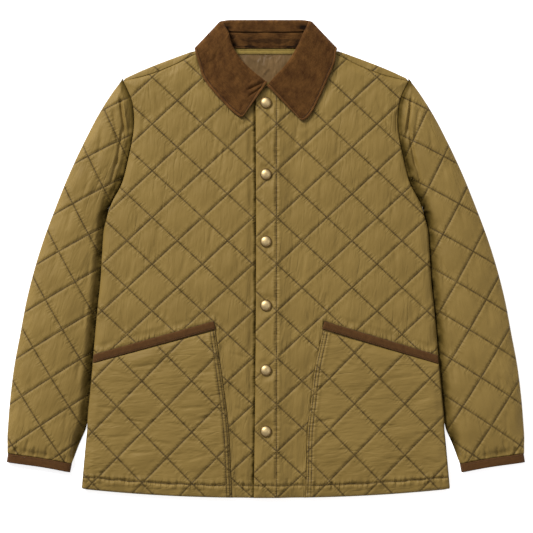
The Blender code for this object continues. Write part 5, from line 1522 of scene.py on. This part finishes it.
# %% Collar stand
STAND_BACK = [(0.0, 337.2, 8.1), (27.0, 337.2, 8.1), (52.0, 337.4, 8.1), (66.0, 338.0, 8.2),
              (77.0, 338.2, 8.6), (83.5, 334.0, 9.0)]
STAND_FRONT_LEFT = [(80.0, 324.0, 8.8), (67.5, 311.0, 8.0), (54.5, 299.6, 7.8),
                    (38.5, 290.0, 8.6), (22.5, 283.8, 13.2), (9.0, 273.0, 13.9)]
STAND_FRONT_RIGHT = [(80.0, 324.0, 8.8), (67.5, 311.0, 8.0), (54.0, 299.2, 7.8),
                     (36.0, 287.8, 7.8), (17.5, 284.0, 11.0), (1.6, 275.9, 13.9)]
stand_table = np.vstack([(np.array(STAND_BACK + STAND_FRONT_RIGHT) * (-1, 1, 1))[::-1],
                         np.array(STAND_BACK + STAND_FRONT_LEFT)[1:]])
necks = station_rows(stand_table, collar_place)
plain_surface, _ = collar_surface(collar_rows)
leg_end, leg_before = plain_surface[:, 0], plain_surface[:, 1]
ahead = leg_end - leg_before
ahead = ahead / np.linalg.norm(ahead, axis=1)[:, None]
to_neck = necks - leg_end
to_neck = to_neck / np.linalg.norm(to_neck, axis=1)[:, None]
bend = np.arccos(np.clip((ahead * to_neck).sum(1), -1, 1))
gap = 2 * SEAM + 1.5 * CORD_WALL * np.tan(np.minimum(bend, 2.0) / 2)
top_edge = leg_end + to_neck * gap[:, None]
t = np.linspace(0, 1, 22)[None, :, None]
stand_surface = necks[:, None] * (1 - t) + top_edge[:, None] * t
stand_run = np.r_[0, np.cumsum(np.linalg.norm(np.diff(necks, axis=0), axis=1))]
wave = 0.35 * np.sin(stand_run / 9.0) * np.sin(stand_run / 23.0 + 0.7)
stand_surface[..., 2] += wave[:, None] * np.sin(math.pi * t[..., 0]) * (np.abs(
    stand_surface[..., 0]) < 58)
across_run = np.linalg.norm(top_edge - necks, axis=1)[:, None] * t[..., 0]
ends_in = np.minimum(stand_run, stand_run[-1] - stand_run)[:, None]
edge_in = np.minimum(np.minimum(across_run, across_run[:, -1:] - across_run) + 0.6, ends_in)
edge_in = np.where(edge_in > 1.3, 40.0, edge_in)
stand_uv = np.stack(np.broadcast_arrays(stand_run[:, None], across_run), -1)
plan = stand_surface[..., 0], stand_surface[..., 1]
# Painted shade on the stand's inside
stand_painted_shade = painted_collar_shade(*plan)
stand_seam = np.stack([stand_painted_shade, np.full(stand_painted_shade.shape, 99.0)], -1)
collar_stand = swept("collar_stand_cord", cord_shell(stand_surface, STAND_WALL, edge_in),
                     CORDUROY, np.concatenate([stand_uv, stand_uv[:, ::-1]], axis=1),
                     np.concatenate([stand_seam, stand_seam[:, ::-1]], axis=1))

# %% [markdown]
# ## The lining and the neck tape
#
# In the open neck the inside of the back shows: taupe lining in a V, and across it the olive
# tape that covers the neck seam. Both are thin sheets that lie on the back, made of loops
# that run along Y. The lining has small creases where the tape holds it.

# %% Lining and tape
LINING_WALL = 0.9
LINING_POINTS = [(64.0, 335.6), (60.0, 319.0), (45.0, 303.0), (28.0, 292.0), (10.0, 283.0),
                 (0.0, 281.4)]
TAPE_HALF, TAPE_LOW, TAPE_HIGH, TAPE_WALL = 62.0, 327.6, 335.6, 1.0
LINING_CREASES = [
    # x, y, x, y, half width, height
    (-12.0, 328.0, 2.0, 321.0, 1.6, -0.5), (14.0, 327.0, -2.0, 319.0, 1.6, -0.5),
    (-30.0, 326.0, -16.0, 316.0, 1.8, 0.4), (26.0, 326.0, 16.0, 312.0, 1.8, 0.4),
    (-8.0, 312.0, 12.0, 300.0, 2.4, 0.45), (10.0, 308.0, -8.0, 292.0, 2.2, 0.4),
]


def thin_sheet(name, x, low, high, level, wall, finish, relief, steps=40):
    """A sheet between two lines over x, of even thickness, with rounded edges and a relief."""
    t = np.r_[0, 0.012, 0.03, np.linspace(0.06, 0.94, steps), 0.97, 0.988, 1][None]
    x = np.repeat(x[:, None], t.shape[1], axis=1)
    y = low[:, None] + (high - low)[:, None] * t
    base = level(x, y)
    edge = np.sqrt(np.clip(1 - np.abs(2 * t - 1)**60, 0, 1)) * 0.8 + 0.2
    face = np.stack([x, y, base + wall * edge + relief(x, y) * edge], -1)
    behind = np.stack([x, y, base], -1)[:, [0, t.shape[1] // 2, -1]][:, ::-1]
    loops = np.concatenate([face, behind], axis=1)
    return swept(name, loops, finish, loops[..., :2] * (1.0, 1.0))


lining_x = np.linspace(-63.0, 63.0, 130)
v_line = through(LINING_POINTS, 80)[::-1]
lining = thin_sheet(
    "lining_cloth", lining_x, np.interp(np.abs(lining_x), v_line[:, 0], v_line[:, 1]),
    np.full(130, 335.6), lambda x, y: back_top(x, y) + SEAM, LINING_WALL, LINING,
    lambda x, y: troughs(x, y, LINING_CREASES))
tape_x = np.linspace(-TAPE_HALF, TAPE_HALF, 140)
tape = thin_sheet(
    "neck_tape_cloth", tape_x, np.full(140, TAPE_LOW), np.full(140, TAPE_HIGH),
    lambda x, y: back_top(x, y) + 2 * SEAM + LINING_WALL, TAPE_WALL, NECK_TAPE,
    lambda x, y: 0.1 * np.sin(x / 2.2) * np.sin(x / 6.1)
    - 0.3 * np.exp(-((np.abs(y - (TAPE_LOW + TAPE_HIGH) / 2) - 2.4) / 0.5)**2), steps=24)

# %% [markdown]
# ## The snaps
#
# A snap's cap is a disc of thin brass, drawn into a dome and rolled over at its rim. It is a
# profile turned about its own axis: the rings are the loops here, from the underside out and
# over the dome. The caps are plain.

# %% Snap caps
SNAP_PROFILE = [
    # radius, height
    (0.15, 0.0), (5.0, 0.0), (8.5, 0.0), (8.95, 0.25), (9.1, 0.7), (9.1, 1.2), (8.95, 1.6),
    (8.65, 1.85), (8.3, 1.9), (8.0, 1.75), (7.8, 1.55), (7.6, 1.6), (7.4, 1.85), (7.0, 2.35),
    (6.4, 2.9), (5.6, 3.45), (4.6, 3.92), (3.4, 4.28), (2.0, 4.5), (0.8, 4.59), (0.15, 4.6),
]
SNAP_STEPS = 56


def make_snap(number, y):
    """One cap: each profile point carried round a full turn."""
    radius, height = np.array(SNAP_PROFILE).T[:, :, None]
    turn = (np.arange(SNAP_STEPS) * math.tau / SNAP_STEPS)[None]
    at = np.array(float(y))
    seat = front_plain(np.zeros(()), at) + overlap_rise(np.zeros(()), at) + SEAM
    loops = np.stack(np.broadcast_arrays(radius * np.cos(turn), y + radius * np.sin(turn),
                                         seat + height), -1)
    rings = np.broadcast_to(radius, loops.shape[:2])
    return swept(f"snap_{number}_cap", loops, BRASS, np.stack([rings, rings * 0], -1))


snaps = [make_snap(number, y) for number, y in enumerate(SNAP_YS, 1)]

# %% [markdown]
# ## Stitches
#
# Every stitch line is sewn with real thread: a short length of it lies on the cloth, dips
# under, and comes up again. One stitch is two rings of four points between two tips. All the
# stitches of a panel are one mesh, made from the arrays of where they start and end. They
# rest on the same height functions as the cloth, averaged a little as the cloth's own grid
# of points does.

# %% Stitches
STITCH, STITCH_GAP, THREAD_RADIUS = 2.9, 3.9, 0.3


def stitches(name, starts, ends, finish):
    """One mesh of threads, each from its start to its end."""
    ahead = ends - starts
    ahead = ahead / np.linalg.norm(ahead, axis=1)[:, None]
    side = np.cross((0, 0, 1.0), ahead)
    side = side / np.linalg.norm(side, axis=1)[:, None]
    above = np.cross(ahead, side)
    turn = (np.arange(4) + 0.5) * math.tau / 4
    ring = (side[:, None] * np.cos(turn)[None, :, None]
            + above[:, None] * np.sin(turn)[None, :, None]) * THREAD_RADIUS
    lift = above * 0.25
    near = (starts * 0.8 + ends * 0.2 + lift)[:, None] + ring
    far = (starts * 0.2 + ends * 0.8 + lift)[:, None] + ring
    points = np.concatenate([starts[:, None], near, far, ends[:, None]], axis=1)
    i, j = np.arange(4), (np.arange(4) + 1) % 4
    tips = np.vstack([np.stack([0 * i, 1 + j, 1 + i], 1), np.stack([9 + 0 * i, 5 + i, 5 + j], 1)])
    sides = np.stack([1 + i, 1 + j, 5 + j, 5 + i], 1)
    base = 10 * np.arange(len(starts))[:, None, None]
    faces = [*(base + tips).reshape(-1, 3).tolist(), *(base + sides).reshape(-1, 4).tolist()]
    flat = points.reshape(-1, 3)
    made = make_piece(name, flat, faces, finish, flat[:, :2])
    if volume(made) < 0:
        made.data.flip_normals()
    print(f"{name}: {len(starts)} stitches")
    return made


def along(line, pitch=STITCH_GAP):
    """Starts and ends of the stitches along a line of points in space."""
    run = np.r_[0, np.cumsum(np.linalg.norm(np.diff(line, axis=0), axis=1))]
    at = np.arange(1.0, run[-1] - STITCH - 1.0, pitch)
    return [np.stack([np.interp(at + more, run, line[:, k]) for k in range(3)], 1)
            for more in (0, STITCH)]


def on_cloth(height, x, y):
    """Points on a height function, averaged over its four neighbours a millimetre away."""
    z = sum(height(x + dx, y + dy) for dx, dy in ((1, 0), (-1, 0), (0, 1), (0, -1))) / 4
    return np.stack([x, y, z], -1)


def quilt_grid(quilt, to_plan=None):
    """Ends of all the stitches on both sets of a quilt's lines, in plan."""
    lines = np.arange(-14, 15)
    cell = math.hypot(quilt[2], quilt[3]) / 2
    steps = np.arange(-14, 14, STITCH_GAP / cell)
    found = []
    for more in (0, STITCH / cell):
        line, place = [part.ravel() for part in np.meshgrid(lines, steps + more)]
        u, v = np.r_[line, place], np.r_[place, line]
        across, down = (u + v) / 2, (u - v) / 2
        x, y = quilt[0] + across * quilt[2], quilt[1] + down * quilt[3]
        found.append(to_plan(across, down) if to_plan else (x, y))
    return found


def kept(spots, outline, covers, margin):
    """Which stitches lie wholly on a panel, clear of its edge and of what covers it."""
    keep = np.ones(len(spots[0][0]), bool)
    for x, y in spots:
        near = distance(x, y, np.vstack([outline, outline[:1]]))
        keep &= inside(x, y, outline) & (near > margin)
        for cover in covers:
            keep &= ~inside(x, y, cover)
    return keep


def front_stitches(side_name):
    """Quilting, hem and, on the left front, the placket's line."""
    left = side_name == "left"
    sign = 1 if left else -1
    outline = loop_of(*front_edges(left))
    ring = np.vstack([outline, outline[:1]])
    covers = front_covers(left)

    def height(x, y):
        return front_height(x, y, left, distance(x, y, ring))

    spots = quilt_grid(BODY_QUILT_LEFT if left else BODY_QUILT_RIGHT)
    keep = kept(spots, outline, covers, 2.5)
    near_placket = PLACKET_STITCH_X + 1.5 if left else -9.0
    keep &= (spots[0][0] > near_placket) & (spots[1][0] > near_placket)
    starts, ends = [on_cloth(height, x[keep], y[keep]) for x, y in spots]
    x = np.linspace(-12.0 if left else 17.0, 288.0, 400)
    line = on_cloth(height, x, hem_line(x))
    more = along(line[~inside(line[:, 0], line[:, 1], covers[0])], 3.4)
    if left:
        y = np.linspace(HEM_MID_Y + 3.0, 262.0, 600)
        line = on_cloth(height, np.full(600, PLACKET_STITCH_X), y)
        line = line[~inside(line[:, 0], line[:, 1], covers[2])]
        more = [np.vstack(pair) for pair in zip(more, along(line, 3.4))]
    starts, ends = np.vstack([starts, more[0]]), np.vstack([ends, more[1]])
    flat = (sign, 1, 1)
    return stitches("front_" + side_name + "_stitches", starts * flat, ends * flat, OLIVE_THREAD)


def pocket_stitches(side_name):
    """Quilting, hem, and the two rows along the inner edge."""
    left = side_name == "left"
    sign = 1 if left else -1
    spec = POCKET_LEFT if left else POCKET_RIGHT
    edges = pocket_edges(spec, POCKET_ACROSS, POCKET_ALONG)
    outline = loop_of(*edges)
    ring = np.vstack([outline, outline[:1]])

    def height(x, y):
        return pocket_height(x, y, left, distance(x, y, ring), distance(x, y, edges[2]))

    spots = quilt_grid(spec["quilt"])
    keep = kept(spots, outline, [], 2.5)
    keep &= distance(*spots[0], edges[2]) > 9.0
    parts = [[on_cloth(height, x[keep], y[keep]) for x, y in spots]]
    x = np.linspace(edges[0][0, 0] + 3, edges[0][-1, 0] - 2, 300)
    parts.append(along(on_cloth(height, x, hem_line(x)), 3.4))
    inner = edges[2][3:-2]
    for shift in (2.6, 7.4):
        parts.append(along(on_cloth(height, inner[:, 0] + shift, inner[:, 1]), 3.4))
    starts, ends = [np.vstack(group) * (sign, 1, 1) for group in zip(*parts)]
    return stitches("pocket_" + side_name + "_stitches", starts, ends, OLIVE_THREAD)


def sleeve_stitches(side_name):
    """The quilting of a sleeve's upper face, along the bend of the arm."""
    sign = 1 if side_name == "left" else -1

    def to_plan(across, down):
        turn = BEND_START - across * 79.6 / BEND_RADIUS
        radius = BEND_RADIUS - down * 77.3
        return BEND_CENTRE[0] + radius * np.cos(turn), BEND_CENTRE[1] + radius * np.sin(turn)

    spots = quilt_grid((0.0, 0.0, 79.6, 77.3), to_plan)
    keep = kept(spots, sleeve_outline[:-1], [], 2.0)
    starts, ends = [on_cloth(sleeve_top, x[keep], y[keep]) * (sign, 1, 1) for x, y in spots]
    return stitches("sleeve_" + side_name + "_stitches", starts, ends, OLIVE_THREAD)


quilt_threads = [make(side) for make in (front_stitches, pocket_stitches, sleeve_stitches)
                 for side in ("right", "left")]

# %% [markdown]
# The tape on the pocket mouths and the cuffs is sewn through near its inner line, and the
# collar is topstitched all round. These rows use brown thread and lie in the dents that the
# cloth already has for them.

# %% Stitches on tape and collar
tape_rows = []
for sign, left in ((-1, False), (1, True)):
    (a, b), (d, c) = mouth_band(POCKET_LEFT if left else POCKET_RIGHT)
    start, end = a * 0.83 + d * 0.17, b * 0.83 + c * 0.17
    plan = start + (end - start) * np.linspace(0.01, 0.99, 120)[:, None]
    z = front_plain(*plan.T) + (overlap_rise(*plan.T) if left else 0) + SEAM + 2.35
    tape_rows.append(along(np.column_stack([plan, z]) * (sign, 1, 1), 3.2))
    seam = through(CUFF_SEAM, 80)
    fall = np.gradient(seam, axis=0)
    fall = np.stack([fall[:, 1], -fall[:, 0]], 1) / np.linalg.norm(fall, axis=1)[:, None]
    plan = seam + fall * -np.sign(fall[:, 1:2]) * (SEAM + (CUFF_BAND - SEAM) * 0.17)
    z = np.full(len(plan), SLEEVE_FULL + BINDING_RISE - 0.55)
    tape_rows.append(along(np.column_stack([plan, z])[6:-6] * (sign, 1, 1), 3.2))

leaf_rows = surface[:, LEG + ARC:]
leaf_in = to_edge[:, LEG + ARC:]
share = np.array([np.interp(-TOPSTITCH_IN, -row, np.arange(len(row))) for row in leaf_in])
k = share.astype(int)
pick = np.arange(len(k))
line = leaf_rows[pick, k] + (leaf_rows[pick, k + 1] - leaf_rows[pick, k]) * (share - k)[:, None]
line = line + (0, 0, CORD_WALL / 2 - 0.3)
shown = (collar_rows[:, 6] > 170) & (to_end[:, -1] > TOPSTITCH_IN)
for side in (-1, 1):
    tape_rows.append(along(line[shown & (line[:, 0] * side > 0)], 3.2))
for row in (np.argmax(run[:, -1] > TOPSTITCH_IN), np.argmax(run[:, -1] > run[-1, -1] - TOPSTITCH_IN)):
    end_line = leaf_rows[row] + (0, 0, CORD_WALL / 2 - 0.3)
    tape_rows.append(along(end_line[leaf_in[row] > TOPSTITCH_IN], 3.2))
starts, ends = [np.vstack(group) for group in zip(*tape_rows)]
brown_threads = stitches("brown_stitches", starts, ends, BROWN_THREAD)
tape_rows = []
for row_y in (TAPE_LOW + 1.6, TAPE_HIGH - 1.6):
    row = np.column_stack([tape_x[4:-4], np.full(len(tape_x) - 8, row_y)])
    z = back_top(*row.T) + 2 * SEAM + LINING_WALL + TAPE_WALL - 0.1
    tape_rows.append(along(np.column_stack([row, z]), 3.2))
starts, ends = [np.vstack(group) for group in zip(*tape_rows)]
tape_threads = stitches("tape_stitches", starts, ends, OLIVE_THREAD)

# %% [markdown]
# ## What stands for what
#
# Each cloth piece stands for its solid and rides with the jacket's one body. Each is also a
# sheet that was cut flat.


for piece, node, slot in (
        (front_right, "front_right", "quilted shell"), (front_left, "front_left", "quilted shell"),
        (back_cloth, "back", "quilted shell"),
        (sleeve_right, "sleeve_right", "quilted shell"),
        (sleeve_left, "sleeve_left", "quilted shell"),
        (pocket_right, "pocket_right", "quilted shell"),
        (pocket_left, "pocket_left", "quilted shell"),
        (cuff_right, "cuff_binding_right", "binding"), (cuff_left, "cuff_binding_left", "binding"),
        (mouth_right, "pocket_binding_right", "binding"),
        (mouth_left, "pocket_binding_left", "binding"),
        (collar_fall, "collar_fall", "corduroy"), (collar_stand, "collar_stand", "corduroy"),
        (lining, "back_lining", "lining"), (tape, "neck_tape", "neck tape"),
        *[(snap, f"snap_{number}", "brass") for number, snap in enumerate(snaps, 1)]):
    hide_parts(node)
    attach(piece, "root")
for piece in quilt_threads:
    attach(piece, "root")
for piece, slot in ((brown_threads, "binding"), (tape_threads, "neck tape")):
    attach(piece, "root")

# %% Outlines of the flat pieces, and the collar's fold length
for piece, left in ((front_right, False), (front_left, True)):
    line = loop_of(*front_edges(left))
for piece, left in ((pocket_right, False), (pocket_left, True)):
    line = loop_of(*pocket_edges(POCKET_LEFT if left else POCKET_RIGHT, 40, 40))
for piece, front, pocket in ((mouth_right, front_right, POCKET_RIGHT),
                             (mouth_left, front_left, POCKET_LEFT)):
    start, end = np.array(pocket["mouth"])
fold_length = np.linalg.norm(np.diff(collar_rows[:, 0:3], axis=0), axis=1).sum()
